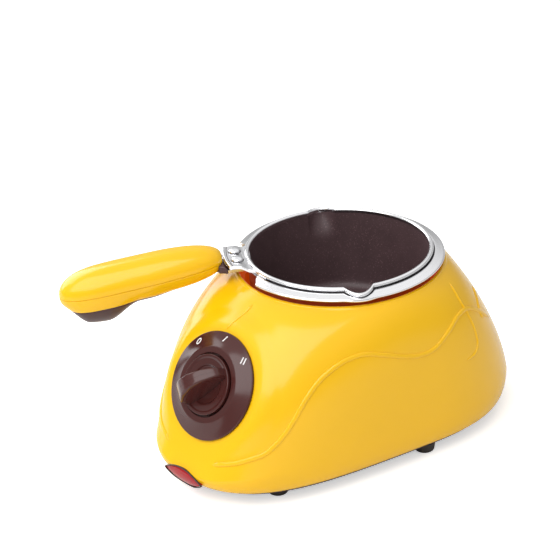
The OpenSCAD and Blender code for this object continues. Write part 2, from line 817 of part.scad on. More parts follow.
// Size of the handle along its length, as a share: blunt at the pot, rounder at the end
function along(t) = (1 - cos(pi_half_turn * t)) / 2;
function handle_u(t) = handle_start + (handle_reach - handle_start) * along(t);
function end_share(t) =
    let (s = along(t),
         power = s < 0.5 ? 2.8 : 4.6,
         least = s < 0.5 ? 0.25 : 0.04)
    least + (1 - least) * sqrt(1 - pow(abs(2 * s - 1), power));
function handle_half(t) = handle_half_w * end_share(t) * (0.9 + 0.1 * along(t));
function handle_spot(t, side) =
    let (u = handle_u(t), v = side * handle_half(t))
    [u * cos(handle_a) - v * sin(handle_a), u * sin(handle_a) + v * cos(handle_a)];
// Depth under the parting line: even at first, with the grip insert's bulge near the end
function under_depth(t) =
    let (q = max(along(t) - bulge_start_share, 0) / (1 - bulge_start_share))
    end_share(t) * (under_h + (handle_bulge_h - under_h) * pow(sin(pi_half_turn * pow(q, 1.7)), 1.4));
bulge_start_share = 0.3;

section_points = 32;
function handle_section(t) =
    [for (i = [0:section_points - 1])
        let (a = i * 360 / section_points,
             h = (sin(a) > 0 ? handle_top_h * end_share(t) : under_depth(t)) * pw(sin(a), 0.92))
        [handle_u(t), handle_half(t) * pw(cos(a), 0.92), handle_mid(handle_u(t)) + h]];
module handle_blank() {
    loft([for (j = [0:handle_rings]) handle_section(j / handle_rings)]);
}
// Slab of the handle between two heights over the parting line
module handle_slab(from, low, high) {
    to = handle_reach + over;
    across(3 * handle_half_w)
        polygon([
            [from, handle_mid(from) + low],
            [to, handle_mid(to) + low],
            [to, handle_mid(to) + high],
            [from, handle_mid(from) + high]
        ]);
}
insert_start = handle_start + bulge_start_share * (handle_reach - handle_start);
lower_start = handle_start + collar_l / 2;
module handle_upper_shell() {
    color("gold") on_handle() difference() {
        intersection() {
            handle_blank();
            handle_slab(handle_start - over, parting_gap / 2, 2 * handle_top_h);
        }
        at_handle_screws() translate([0, 0, -over]) cylinder(h = handle_screw_hold + over, r = handle_screw_r + pin_gap);
    }
}
module handle_lower_shell() {
    color("gold") on_handle() difference() {
        intersection() {
            handle_blank();
            handle_slab(lower_start, -2 * handle_bulge_h, -parting_gap / 2);
        }
        handle_slab(insert_start, -2 * handle_bulge_h - over, -lower_shell_h);
        core_bar(seat_gap);
        collar(seat_gap);
        at_handle_screws() translate([0, 0, -handle_bulge_h]) cylinder(h = handle_bulge_h, r = handle_screw_r + seat_gap);
        at_handle_screws() translate([0, 0, -handle_bulge_h])
            cylinder(h = handle_bulge_h - lower_shell_h + handle_recess_h, r = handle_screw_head_r + seat_gap);
    }
}
handle_recess_h = 1.7;
module handle_grip_insert() {
    color("#5c3a34") on_handle() intersection() {
        handle_blank();
        handle_slab(insert_start + parting_gap, -2 * handle_bulge_h, -lower_shell_h - parting_gap);
    }
}
module handle_screws() {
    color("silver") on_handle() at_handle_screws()
        translate([0, 0, -lower_shell_h + handle_recess_h])
            screw(lower_shell_h - handle_recess_h + handle_screw_hold - seat_gap, handle_screw_r, handle_screw_head_r);
}

// Heating plate with its cast-in element, shield, thermostat and fuse

heater_screw_angles = [30, 150, 270];
heater_screw_ring_r = (heat_r + well_floor_r) / 2;
heater_screw_r = 1.5;
element_z = well_floor_z - element_tube_r - 0.4 * heat_t;
element_wall = 2;
pin_a = 12;
pin_r = 1.8;
module element_shape(grow) {
    translate([0, 0, element_z]) rotate_extrude()
        translate([element_ring_r, 0]) circle(r = element_tube_r + grow, $fn = 32);
    for (s = [-1, 1])
        rotate([0, 0, 90 + s * pin_a]) translate([element_ring_r, 0, element_z - pin_length])
            cylinder(h = pin_length, r = pin_r + grow);
}
pin_length = element_tube_r + 5 * pin_r;
module heating_plate() {
    color("lightgray") at_origin() difference() {
        union() {
            translate([0, 0, well_floor_z]) cylinder(h = heat_t, r = heat_r);
            translate([0, 0, element_z - element_tube_r - element_wall / 2]) difference() {
                cylinder(h = well_floor_z - element_z + element_tube_r + element_wall, r = element_ring_r + element_tube_r + element_wall);
                translate([0, 0, -over]) cylinder(h = well_floor_z - element_z + element_tube_r + element_wall / 2 + over,
                                                  r = element_ring_r - element_tube_r - element_wall);
            }
        }
        element_shape(pin_gap);
        for (a = heater_screw_angles)
            rotate([0, 0, a]) translate([heater_screw_ring_r, 0, well_floor_z - over])
                cylinder(h = over + 0.7 * heat_t, r = heater_screw_r + pin_gap);
    }
}
module heating_element() {
    color("dimgray") at_origin() element_shape(0);
}
shield_r = well_floor_r - seat_gap;
shield_rim_z = well_floor_z - wall;
module heat_shield() {
    color("silver") at_origin() difference() {
        rotate_extrude()
            polygon([
                [0, shield_rim_z - shield_depth],
                [shield_r, shield_rim_z - shield_depth],
                [shield_r, shield_rim_z - shield_t],
                [well_wall_r - 2 * over, shield_rim_z - shield_t],
                [well_wall_r - 2 * over, shield_rim_z],
                [shield_r - shield_t, shield_rim_z],
                [shield_r - shield_t, shield_rim_z - shield_depth + shield_t],
                [0, shield_rim_z - shield_depth + shield_t]
            ]);
        for (s = [-1, 1])
            rotate([0, 0, 90 + s * pin_a]) translate([element_ring_r, 0, shield_rim_z - shield_depth - over])
                cylinder(h = shield_t + 2 * over, r = 2 * pin_r);
        for (a = heater_screw_angles)
            rotate([0, 0, a]) translate([heater_screw_ring_r, 0, shield_rim_z - shield_t - over])
                cylinder(h = shield_t + 2 * over, r = heater_screw_r + seat_gap);
    }
}
module heater_screws() {
    color("silver") at_origin() for (a = heater_screw_angles)
        rotate([0, 0, a]) translate([heater_screw_ring_r, 0, shield_rim_z - shield_t])
            screw(shield_t + wall + 0.6 * heat_t, heater_screw_r, screw_head_r);
}
thermostat_r = 8;
thermostat_h = 5;
thermostat_x = -1.5 * thermostat_r;
module thermostat() {
    color("tan") at_origin() translate([thermostat_x, 0, well_floor_z - thermostat_h]) {
        cylinder(h = thermostat_h, r = thermostat_r);
        for (y = [-1, 1])
            translate([-blade_w / 2, y * thermostat_r / 2 - blade_t / 2, -thermostat_h]) cube([blade_w, blade_t, thermostat_h]);
    }
}
fuse_r = 2;
fuse_l = 12;
fuse_x = 5 * fuse_r;
fuse_z = well_floor_z - fuse_r - 2 * seat_gap;
module thermal_fuse() {
    color("white") at_origin() translate([fuse_x, fuse_l / 2, fuse_z - pin_gap]) rotate([90, 0, 0]) {
        cylinder(h = fuse_l, r = fuse_r);
        translate([0, 0, -fuse_l / 3]) cylinder(h = fuse_l * 5 / 3, r = fuse_r / 4, $fn = 24);
    }
}
clip_w = 4;
clip_t = 0.6;
module fuse_clip() {
    color("silver") at_origin() difference() {
        union() {
            translate([fuse_x, clip_w / 2, fuse_z]) rotate([90, 0, 0])
                cylinder(h = clip_w, r = fuse_r + clip_t);
            translate([fuse_x - 3 * fuse_r, -clip_w / 2, well_floor_z - clip_t]) cube([6 * fuse_r, clip_w, clip_t]);
        }
        translate([fuse_x, clip_w, fuse_z - pin_gap]) rotate([90, 0, 0]) cylinder(h = 2 * clip_w, r = fuse_r + pin_gap);
        translate([fuse_x - fuse_l, -clip_w, well_floor_z]) cube([2 * fuse_l, 2 * clip_w, fuse_l]);
    }
}

// Terminal block and cord inlet

block_back = 24.5;
block_y = back_reach - block_back;
block_w = 30;
block_d = 16;
block_h = 10;
block_screw_xs = [-12, 12];
block_pin_xs = [-6, 0, 6];
module terminal_block() {
    color("white") at_origin() difference() {
        translate([-block_w / 2, block_y - block_d / 2, skirt_z]) cube([block_w, block_d, block_h]);
        for (x = block_screw_xs)
            translate([x, block_y, skirt_z - over]) cylinder(h = block_h + 2 * over, r = screw_r + pin_gap);
        for (x = block_pin_xs, y = [-block_d / 4, block_d / 4])
            translate([x, block_y + y, skirt_z + block_h / 2]) cylinder(h = block_h, r = terminal_r + pin_gap);
    }
}
terminal_r = 1.6;
module terminal_screws() {
    color("gold") at_origin() for (x = block_pin_xs, y = [-block_d / 4, block_d / 4])
        translate([x, block_y + y, skirt_z + block_h / 2]) cylinder(h = block_h / 2 - over / 2, r = terminal_r);
}
module block_screws() {
    color("silver") at_origin() for (x = block_screw_xs)
        translate([x, block_y, base_z]) screw(base_t + 0.8 * block_h, screw_r, screw_head_r);
}
bush_grip = wall + 14 * seat_gap;
module cord_inlet_bush() {
    color("dimgray") at_origin() translate([0, back_reach + seat_gap, inlet_z]) rotate([-90, 0, 0])
        rotate_extrude()
            polygon([
                [inlet_r, bush_lip_t],
                [bush_flange_r - bush_lip_t / 2, bush_lip_t],
                [bush_flange_r, bush_lip_t / 2],
                [bush_flange_r, 0],
                [bush_r, 0],
                [bush_r, -bush_grip],
                [bush_r + bush_lip_t / 2, -bush_grip],
                [bush_r, -bush_grip - 2 * bush_lip_t],
                [inlet_r, -bush_grip - 2 * bush_lip_t]
            ]);
}

housing();
base_plate();
feet_front();
feet_side();
feet_rear();
base_screws();
dial_plate();
control_knob();
switch_shaft();
rotary_switch();
switch_nut();
switch_terminals();
indicator_lens();
pilot_lamp();
lamp_holder();
pot_bowl();
rivets();
handle_tang();
handle_core();
handle_upper_shell();
handle_lower_shell();
handle_grip_insert();
handle_screws();
heating_plate();
heating_element();
heat_shield();
heater_screws();
thermostat();
thermal_fuse();
fuse_clip();
terminal_block();
terminal_screws();
block_screws();
cord_inlet_bush();
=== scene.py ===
"""Electric chocolate melting pot: the finished pieces and their looks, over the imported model.

Sizes are in millimetres in the pot's own frame (the pot's axis is x = y = 0, the table z = 0,
the dial faces -Y) until make_piece turns them to metres in the shared frame. Plan angles are
degrees from +X, seen from above.
"""

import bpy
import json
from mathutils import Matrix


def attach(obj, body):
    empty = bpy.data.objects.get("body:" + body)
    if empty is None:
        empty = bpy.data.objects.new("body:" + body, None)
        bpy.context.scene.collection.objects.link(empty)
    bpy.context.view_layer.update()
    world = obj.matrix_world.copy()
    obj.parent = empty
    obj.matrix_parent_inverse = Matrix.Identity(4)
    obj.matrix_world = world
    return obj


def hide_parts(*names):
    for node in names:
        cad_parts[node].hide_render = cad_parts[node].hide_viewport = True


bl_info = {
    "name": "Chocolate melting pot",
    "version": (1, 0, 0),
    "blender": (4, 5, 0),
    "location": "View3D > Sidebar > Melting pot",
    "description": "Makes the pieces, finishes and studio of an electric chocolate melting pot",
    "category": "Object",
}

import json
import math
from types import SimpleNamespace

import bpy
import numpy as np
from mathutils import Matrix, Vector

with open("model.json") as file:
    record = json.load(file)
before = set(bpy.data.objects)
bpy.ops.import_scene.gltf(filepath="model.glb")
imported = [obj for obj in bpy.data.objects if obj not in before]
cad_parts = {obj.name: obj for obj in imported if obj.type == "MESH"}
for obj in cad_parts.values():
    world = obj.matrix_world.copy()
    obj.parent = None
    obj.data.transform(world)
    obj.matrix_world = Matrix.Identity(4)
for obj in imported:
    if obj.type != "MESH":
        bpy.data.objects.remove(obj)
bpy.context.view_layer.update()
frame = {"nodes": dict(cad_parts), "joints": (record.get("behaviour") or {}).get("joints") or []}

MM = 0.001
DIAL_REACH = 91.2
KNOB_JOINT = next(joint for joint in frame["joints"] if joint["name"] == "knob_turn")
POT_AXIS = np.array([KNOB_JOINT["pos_m"][0], KNOB_JOINT["pos_m"][1] + DIAL_REACH * MM, 0.0])


# Sizes and colours that a user would change

def srgb(code):
    """Linear red, green and blue of an sRGB hex colour."""
    shares = [int(code[i:i + 2], 16) / 255 for i in (0, 2, 4)]
    return tuple(c / 12.92 if c <= 0.04045 else ((c + 0.055) / 1.055) ** 2.4 for c in shares)


def length(name, millimetres, what):
    """A length property that defaults to a size in millimetres."""
    return bpy.props.FloatProperty(name=name, description=what, default=millimetres * MM,
                                   min=0.0, precision=5, unit="LENGTH")


def turn(name, degrees, what):
    """An angle property that defaults to a size in degrees."""
    return bpy.props.FloatProperty(name=name, description=what, default=math.radians(degrees),
                                   unit="ROTATION")


def share(name, value, what):
    """A plain number without a unit."""
    return bpy.props.FloatProperty(name=name, description=what, default=value, precision=3)


def colour(name, code, what):
    """A colour property that defaults to an sRGB hex colour."""
    return bpy.props.FloatVectorProperty(name=name, description=what, default=srgb(code),
                                         size=3, min=0.0, max=1.0, subtype="COLOR")


class StandSizes(bpy.types.PropertyGroup):
    """Sizes of the heated stand."""
    half_w: length("Half width", 70.5, "Half width of the housing at its girth")
    front_reach: length("Front reach", 114.7, "Reach of the nose from the pot's axis")
    back_reach: length("Back reach", 86.5, "Reach of the back from the pot's axis")
    girth_z: length("Girth height", 22.5, "Height of the widest line above the table")
    nose_z: length("Nose height", 14.8, "Height of the widest line at the nose")
    skirt_z: length("Lower edge", 8.0, "Height of the housing's lower edge")
    tuck: length("Tuck", 4.4, "How far the housing draws in below its girth")
    wall: length("Wall", 2.4, "Thickness of the housing's wall")
    lip_r: length("Lip radius", 55.9, "Outer radius of the mouth's lip")
    lip_z: length("Lip height", 91.7, "Height of the mouth's lip")
    lip_w: length("Lip width", 2.8, "Width of the rounded lip")
    ledge_z: length("Ledge height", 84.2, "Height of the ledge inside the mouth")
    well_r: length("Well radius", 49.6, "Radius of the well that the pot stands in")
    well_floor_z: length("Well floor", 49.1, "Height of the well's floor")
    well_floor_r: length("Well opening", 37.3, "Radius of the opening in the well's floor")
    base_z: length("Base height", 5.6, "Height of the base plate's underside")
    base_inset: length("Base inset", 2.0, "How far the base lies inside the lower edge")
    foot_r: length("Foot radius", 6.0, "Radius of a rubber foot")
    lens_w: length("Lens width", 28.0, "Width of the indicator lens")
    lens_h: length("Lens height", 9.4, "Height of the indicator lens")
    lens_z: length("Lens centre", 12.0, "Height of the lens's centre")
    inlet_z: length("Inlet height", 22.0, "Height of the cord inlet")
    inlet_r: length("Inlet bore", 3.2, "Radius of the cord inlet's bore")
    inlet_flange_r: length("Inlet flange", 7.0, "Radius of the cord inlet's flange")
    line_w: length("Moulded line", 2.6, "Width of the moulded lines on the housing")
    line_h: length("Line height", 0.75, "Height of the moulded lines on the housing")


class DialSizes(bpy.types.PropertyGroup):
    """Sizes of the dial and its knob."""
    reach: length("Reach", DIAL_REACH, "Distance of the dial's centre in front of the pot's axis")
    height: length("Height", 54.7, "Height of the dial's centre")
    lean: turn("Lean", 30.5, "Lean of the dial's face back from the vertical")
    plate_r: length("Plate radius", 27.8, "Radius of the dial plate")
    plate_h: length("Plate height", 4.3, "Thickness of the plate at its raised middle")
    seat_h: length("Knob seat plate", 3.4, "Thickness of the plate under the knob")
    groove_r: length("Groove radius", 16.3, "Outer radius of the gap round the knob")
    edge_h: length("Edge height", 1.4, "Thickness of the plate at its edge")
    flat_r: length("Flat radius", 19.2, "Radius of the plate's raised middle")
    knob_z: length("Knob seat", 3.8, "Height of the knob's underside over the dial's plane")
    knob_r: length("Knob radius", 15.5, "Radius of the control knob")
    rim_h: length("Rim height", 1.9, "Height of the knob's rim")
    dish_r: length("Dish radius", 9.6, "Radius of the dish in the knob")
    dish_z: length("Dish floor", 0.3, "Height of the dish's floor")
    blade_h: length("Blade height", 15.2, "Height of the grip blade at its middle")
    blade_drop: length("Blade drop", 8.6, "How much lower the grip blade is at its ends")
    blade_t: length("Blade thickness", 7.6, "Thickness of the grip blade at its middle")
    blade_a: turn("Blade angle", 45.0, "Angle of the grip blade from the dial's right")


class PotSizes(bpy.types.PropertyGroup):
    """Sizes of the aluminium pot."""
    rim_z: length("Rim height", 100.0, "Height of the rim above the table")
    mouth_r: length("Mouth radius", 47.0, "Inner radius of the mouth")
    floor_r: length("Floor radius", 44.0, "Inner radius just above the floor")
    floor_z: length("Floor height", 53.5, "Height of the pot's inner floor")
    wall: length("Wall", 1.4, "Thickness of the pot's wall")
    floor_round: length("Floor round", 6.0, "Radius where the wall turns into the floor")
    bead_r: length("Bead radius", 1.2, "Radius of the rolled bead round the mouth")
    band_r: length("Band radius", 55.2, "Outer radius of the sloping band")
    band_z: length("Band edge", 95.7, "Height of the band's outer edge")
    band_gap: turn("Band gap", 19.0, "Half of the angle cut out of the band at the tab")
    spout_out: length("Spout reach", 5.4, "How far a spout draws the rim outwards")
    spout_w: length("Spout width", 7.6, "Half width of a spout along the rim")
    tab_root_w: length("Tab root", 16.0, "Half width of the tab at the pot")
    tab_end_w: length("Tab end", 12.5, "Half width of the tab at its end")
    tab_reach: length("Tab reach", 60.0, "Reach of the tab's end from the pot's axis")
    rivet_reach: length("Rivet reach", 54.5, "Reach of the rivets from the pot's axis")
    rivet_gap: length("Rivet gap", 10.4, "Distance between the two rivets")
    rivet_r: length("Rivet head", 3.0, "Radius of a rivet's head")


class HandleSizes(bpy.types.PropertyGroup):
    """Sizes of the handle."""
    angle: turn("Direction", 237.0, "Plan direction of the handle")
    start: length("Start", 62.0, "Reach where the shells begin")
    reach: length("Reach", 147.0, "Reach of the handle's end")
    fall: turn("Fall", 6.9, "Fall of the handle along its length")
    half_w: length("Half width", 13.0, "Half width of the handle")
    top_h: length("Top", 11.8, "Height of the top over the parting line")
    under_h: length("Under", 9.6, "Depth under the parting line before the bulge")
    bulge_h: length("Bulge", 19.0, "Depth of the grip insert's bulge")
    seam_h: length("Seam", 7.5, "Depth of the insert's seam under the parting line")
    tang_z: length("Tang height", 97.0, "Height of the tang's middle at the pot")
    parting_lift: length("Parting lift", 3.2, "Height of the parting line over the tang")
    gap: length("Parting gap", 0.2, "Gap at each parting line")
    insert_share: share("Insert start", 0.3, "Share of the length where the insert begins")


class PotFinishes(bpy.types.PropertyGroup):
    """Colours of the finishes."""
    yellow: colour("Yellow plastic", "f1bb0c", "Body colour of the glossy yellow ABS")
    # The mouth's deeper orange is painted shade: the same yellow plastic, darkened where shade falls
    # inside the mouth
    yellow_shade: colour("Mouth plastic", "d4701c", "Colour of the yellow ABS inside the mouth")
    brown: colour("Dial brown", "451f1c", "Colour of the glossy brown ABS")
    brown_satin: colour("Grip brown", "3f1f1c", "Colour of the satin brown ABS")
    base_brown: colour("Base brown", "38261e", "Colour of the base plate")
    lining: colour("Lining", "4a383a", "Colour of the non-stick lining")
    red: colour("Lens red", "a00914", "Colour of the indicator lens")


class MeltingPot(bpy.types.PropertyGroup):
    """Everything that can be changed on the melting pot."""
    stand: bpy.props.PointerProperty(type=StandSizes)
    dial: bpy.props.PointerProperty(type=DialSizes)
    pot: bpy.props.PointerProperty(type=PotSizes)
    handle: bpy.props.PointerProperty(type=HandleSizes)
    finishes: bpy.props.PointerProperty(type=PotFinishes)


def sizes(context, name):
    """The values of a group by its name, with lengths in millimetres and angles in degrees."""
    group = getattr(context.scene.melting_pot, name)
    values = {}
    for prop in group.bl_rna.properties:
        if prop.identifier in {"rna_type", "name"}:
            continue
        value = getattr(group, prop.identifier)
        if prop.unit == "LENGTH":
            value = value / MM
        elif prop.unit == "ROTATION":
            value = math.degrees(value)
        values[prop.identifier] = value
    return SimpleNamespace(**values)


# Surfaces as grids of points

def sind(a):
    return np.sin(np.radians(a))


def cosd(a):
    return np.cos(np.radians(a))


def smooth(v):
    """0 below 0, 1 above 1, and 3v^2 - 2v^3 between."""
    v = np.clip(v, 0.0, 1.0)
    return v * v * (3.0 - 2.0 * v)


def power(v, k):
    """Signed power, for superellipses."""
    return np.sign(v) * np.abs(v) ** k


def joined(*axes):
    """Points from their coordinates, which are spread to one shape."""
    return np.stack(np.broadcast_arrays(*axes), axis=-1)


def sheet(points, closed=False, tints=None):
    """Faces over a grid of points (rows, columns, 3), with its last column joined to the first.

    closed joins the last row to the first. If not, a fan to its middle closes each of the two.
    tints gives each row its material's number.
    Returns (points, quads, triangles, tint of each quad, tint of each triangle).
    """
    rows, columns = points.shape[:2]
    tints = np.zeros(rows, int) if tints is None else np.asarray(tints)
    index = np.arange(rows * columns).reshape(rows, columns)
    if closed:
        index = np.concatenate([index, index[:1]])
    index = np.concatenate([index, index[:, :1]], axis=1)
    corners = [index[:-1, :-1], index[:-1, 1:], index[1:, 1:], index[1:, :-1]]
    quads = np.stack(corners, axis=-1)
    quad_tints = np.repeat(tints[:quads.shape[0]], quads.shape[1])
    flat = points.reshape(-1, 3)
    triangles, fan_tints = np.zeros((0, 3), int), np.zeros(0, int)
    if not closed:
        lower, upper = index[0], index[-1]
        first, last = len(flat), len(flat) + 1
        triangles = np.concatenate([joined(first, lower[1:], lower[:-1]),
                                    joined(last, upper[:-1], upper[1:])])
        fan_tints = np.repeat(tints[[0, -1]], columns)
        flat = np.concatenate([flat, points[:1].mean(axis=1), points[-1:].mean(axis=1)])
    return flat, quads.reshape(-1, 4), triangles, quad_tints, fan_tints


def outward(part):
    """The same surface with its faces turned outwards, by the sign of its volume."""
    points, quads, triangles, quad_tints, fan_tints = part
    every = np.concatenate([quads[:, :3], quads[:, [0, 2, 3]], triangles])
    a, b, c = points[every[:, 0]], points[every[:, 1]], points[every[:, 2]]
    if np.einsum("ij,ij->i", a, np.cross(b, c)).sum() < 0:
        quads, triangles = quads[:, ::-1], triangles[:, ::-1]
    return points, quads, triangles, quad_tints, fan_tints


def make_piece(name, parts, finishes, body, replaces=(), sharp=38.0):
    """Makes one piece from closed surfaces in the pot's frame, and ties it to its body.

    finishes names the finish of each tint, and replaces the CAD nodes that the piece stands for.
    """
    points, faces, tints = [], [], []
    first = 0
    for part in parts:
        corners, quads, triangles, quad_tints, fan_tints = outward(part)
        points.append(corners)
        faces += (quads + first).tolist() + (triangles + first).tolist()
        tints.append(np.concatenate([quad_tints, fan_tints]))
        first += len(corners)
    places = np.concatenate(points) * MM + POT_AXIS
    mesh = bpy.data.meshes.new(name)
    mesh.from_pydata(places.tolist(), [], faces)
    mesh.polygons.foreach_set("material_index", np.concatenate(tints).astype(np.int32))
    mesh.polygons.foreach_set("use_smooth", np.ones(len(faces), bool))
    for finish in finishes:
        mesh.materials.append(FINISHES[finish])
    mesh.update()
    mesh.set_sharp_from_angle(angle=math.radians(sharp))
    made = bpy.data.objects.new(name, mesh)
    bpy.context.scene.collection.objects.link(made)
    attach(made, body)
    if replaces:
        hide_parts(*replaces)
    return made


def rounded(corners, radius, closed=False, steps=5):
    """A profile with its corners rounded by quadratic curves.

    Each corner is cut radius away from it along both sides, at most 0.3 of a side, and a
    further point on each side keeps the shading of the flats flat.
    """
    corners = np.array(corners, float)
    radius = np.broadcast_to(np.asarray(radius, float), (len(corners),))
    before = np.roll(corners, 1, axis=0) - corners
    after = np.roll(corners, -1, axis=0) - corners
    long_before = np.linalg.norm(before, axis=1)
    long_after = np.linalg.norm(after, axis=1)
    cut_before = np.minimum(radius, 0.3 * long_before)
    cut_after = np.minimum(radius, 0.3 * long_after)
    before = before * (cut_before / long_before)[:, None]
    after = after * (cut_after / long_after)[:, None]
    t = np.linspace(0.0, 1.0, steps)
    weights = np.stack([(1 - t) ** 2, t ** 2])
    bend = corners[:, None] + weights[0][None, :, None] * before[:, None] \
        + weights[1][None, :, None] * after[:, None]
    line = np.concatenate([(corners + 1.6 * before)[:, None], bend,
                           (corners + 1.6 * after)[:, None]], axis=1)
    if closed:
        return line.reshape(-1, 2)
    return np.concatenate([corners[:1], line[1:-1].reshape(-1, 2), corners[-1:]])


def turned(profile, spokes=128, closed=False, tints=None):
    """A turned surface: the profile of (radius, height) points carried round the z axis."""
    a = np.arange(spokes) * 360.0 / spokes
    r, z = profile[:, :1], profile[:, 1:]
    points = joined(r * cosd(a), r * sind(a), z)
    return sheet(points, closed=closed, tints=tints)


def stacked(levels, half_l, half_w, corner, spokes=96):
    """Rounded rectangles stacked up z: x = l*cos^(2/k), y = w*sin^(2/k) at each level."""
    a = np.arange(spokes) * 360.0 / spokes
    x = np.asarray(half_l)[:, None] * power(cosd(a), 2.0 / corner)
    y = np.asarray(half_w)[:, None] * power(sind(a), 2.0 / corner)
    return joined(x, y, np.asarray(levels)[:, None])


def placed(part, origin, u=(1, 0, 0), v=(0, 1, 0), w=(0, 0, 1)):
    """Carries a surface into the frame of three unit vectors at an origin."""
    axes = np.array([u, v, w], float)
    return (part[0] @ axes + np.array(origin, float),) + part[1:]


def bead(path, normals, half_w, half_h, sides=14, looped=False, tint=0):
    """A flattened tube along a path that lies on a surface with the given normals, or normal.

    Each ring is path + side*half_w*cos + normal*half_h*sin, and side is square to both.
    """
    normals = np.broadcast_to(normals, path.shape)
    if looped:
        along = np.roll(path, -1, axis=0) - np.roll(path, 1, axis=0)
    else:
        along = np.gradient(path, axis=0)
    side = np.cross(normals, along)
    side /= np.linalg.norm(side, axis=1)[:, None]
    a = np.arange(sides) * 360.0 / sides
    half_w = np.broadcast_to(half_w, (len(path),))[:, None, None]
    half_h = np.broadcast_to(half_h, (len(path),))[:, None, None]
    points = path[:, None] + side[:, None] * half_w * cosd(a)[None, :, None] \
        + normals[:, None] * half_h * sind(a)[None, :, None]
    return sheet(points, closed=looped, tints=np.full(len(path), tint))


def smooth_path(knots, count):
    """A curve of count points through knots, Catmull-Rom by distance along them."""
    knots = np.array(knots, float)
    ends = np.concatenate([2 * knots[:1] - knots[1:2], knots, 2 * knots[-1:] - knots[-2:-1]])
    s = np.linspace(0.0, len(knots) - 1.0, count)
    i = np.minimum(s.astype(int), len(knots) - 2)
    t = (s - i)[:, None]
    p0, p1, p2, p3 = ends[i], ends[i + 1], ends[i + 2], ends[i + 3]
    return 0.5 * (2 * p1 + (p2 - p0) * t + (2 * p0 - 5 * p1 + 4 * p2 - p3) * t ** 2
                  + (3 * p1 - p0 - 3 * p2 + p3) * t ** 3)


# The egg-shaped housing

# Superellipse powers of the girth, its narrowing towards the front, and how front, side and
# back blend. The flank's control points have values for front, side and back.
FRONT_POWER = 2.7
BACK_POWER = 2.35
EGG_SHARE = 0.2
FRONT_BLEND = 8.8
FIRST_RISE = (0.31, 0.57, 0.19)
FIRST_LEAN = (0.31, 0.035, 0.13)
SECOND_RUN = (0.48, 0.68, 0.38)
SECOND_FALL = (0.14, 0.14, 0.32)


def around(a, shares):
    """Front, side and back values blended by plan angle: high powers of the sine."""
    s = sind(a)
    front = np.maximum(-s, 0.0) ** FRONT_BLEND
    back = np.maximum(s, 0.0) ** 2
    return shares[0] * front + shares[2] * back + shares[1] * (1.0 - front - back)


def girth(a, s):
    """Girth in plan: a superellipse of half width and reach that narrows towards the front."""
    k = np.where(sind(a) < 0, FRONT_POWER, BACK_POWER)
    reach = np.where(sind(a) < 0, s.front_reach, s.back_reach)
    r = ((np.abs(cosd(a)) / s.half_w) ** k + (np.abs(sind(a)) / reach) ** k) ** (-1.0 / k)
    return joined(r * cosd(a) * (1.0 + EGG_SHARE * sind(a)), r * sind(a))


def girth_level(a, s):
    """Height of the girth: it dips at the nose."""
    return around(a, (s.nose_z, s.girth_z, s.girth_z))


def egg(a, w, s):
    """Outer surface: w from -1 at the lower edge to 0 at the girth and 1 at the lip.

    The skirt draws in by tuck*(1 - sqrt(v(2 - v))), and the flank is a cubic curve from girth
    to lip whose control points lean in and rise by the shares above.
    """
    a, w = np.broadcast_arrays(np.asarray(a, float), np.asarray(w, float))
    level = girth_level(a, s)
    edge = girth(a, s)
    v = np.clip(1.0 + w, 0.0, 1.0)
    low_xy = edge * (1.0 - s.tuck * (1.0 - np.sqrt(v * (2.0 - v))) / s.half_w)[..., None]
    low_z = s.skirt_z + (level - s.skirt_z) * v
    t = np.clip(w, 0.0, 1.0)
    c1 = 3.0 * t * (1.0 - t) ** 2
    c2 = 3.0 * t * t * (1.0 - t)
    run = (1.0 - t) ** 3 + c1 * (1.0 - around(a, FIRST_LEAN)) + c2 * around(a, SECOND_RUN)
    rise = c1 * around(a, FIRST_RISE) + c2 * (1.0 - around(a, SECOND_FALL)) + t ** 3
    lip = s.lip_r * joined(cosd(a), sind(a))
    high_xy = lip + (edge - lip) * run[..., None]
    high_z = level + (s.lip_z - level) * rise
    low = w < 0
    xy = np.where(low[..., None], low_xy, high_xy)
    return np.concatenate([xy, np.where(low, low_z, high_z)[..., None]], axis=-1)


def dial_frame(d):
    """Origin and axes of the dial: across, up the face, and out of it."""
    origin = np.array([0.0, -d.reach, d.height])
    u = np.array([1.0, 0.0, 0.0])
    v = np.array([0.0, sind(d.lean), cosd(d.lean)])
    w = np.array([0.0, -cosd(d.lean), sind(d.lean)])
    return origin, u, v, w


# How far round the dial the skin fades to flat, how far it lies under the dial, and how deep
# it goes inside the cord inlet's bore
SEAT_FADE = 13.0
SEAT_DROP = 0.15
INLET_DEPTH = 9.0


def skin(a, w, s, d):
    """The egg with a flat seat for the dial and a hole for the cord.

    At the dial the height over its plane fades to zero, and inside the inlet's bore the skin
    goes straight in.
    """
    points = egg(a, w, s)
    origin, u, v, out = dial_frame(d)
    offset = points - origin
    h = offset @ out
    r = np.hypot(offset @ u, offset @ v)
    keep = smooth((r - d.plate_r - 0.4) / SEAT_FADE)
    near = (points[..., 1] < -0.4 * d.reach) & (h > -25.0)
    shift = np.where(near, (1.0 - keep) * (-SEAT_DROP - h), 0.0)
    points = points + shift[..., None] * out
    from_inlet = np.hypot(points[..., 0], points[..., 2] - s.inlet_z)
    hole = (1.0 - smooth((from_inlet - s.inlet_r - 0.4) / 1.2)) * (points[..., 1] > 0.0)
    points[..., 1] -= INLET_DEPTH * hole
    return points


def skin_normal(a, w, s, d):
    """Outward normal of the skin, from its slopes along the two parameters."""
    across = skin(a + 0.2, w, s, d) - skin(a - 0.2, w, s, d)
    up = skin(a, np.minimum(w + 0.004, 1.0), s, d) - skin(a, np.maximum(w - 0.004, -1.0), s, d)
    n = np.cross(across, up)
    return n / np.linalg.norm(n, axis=-1)[..., None]


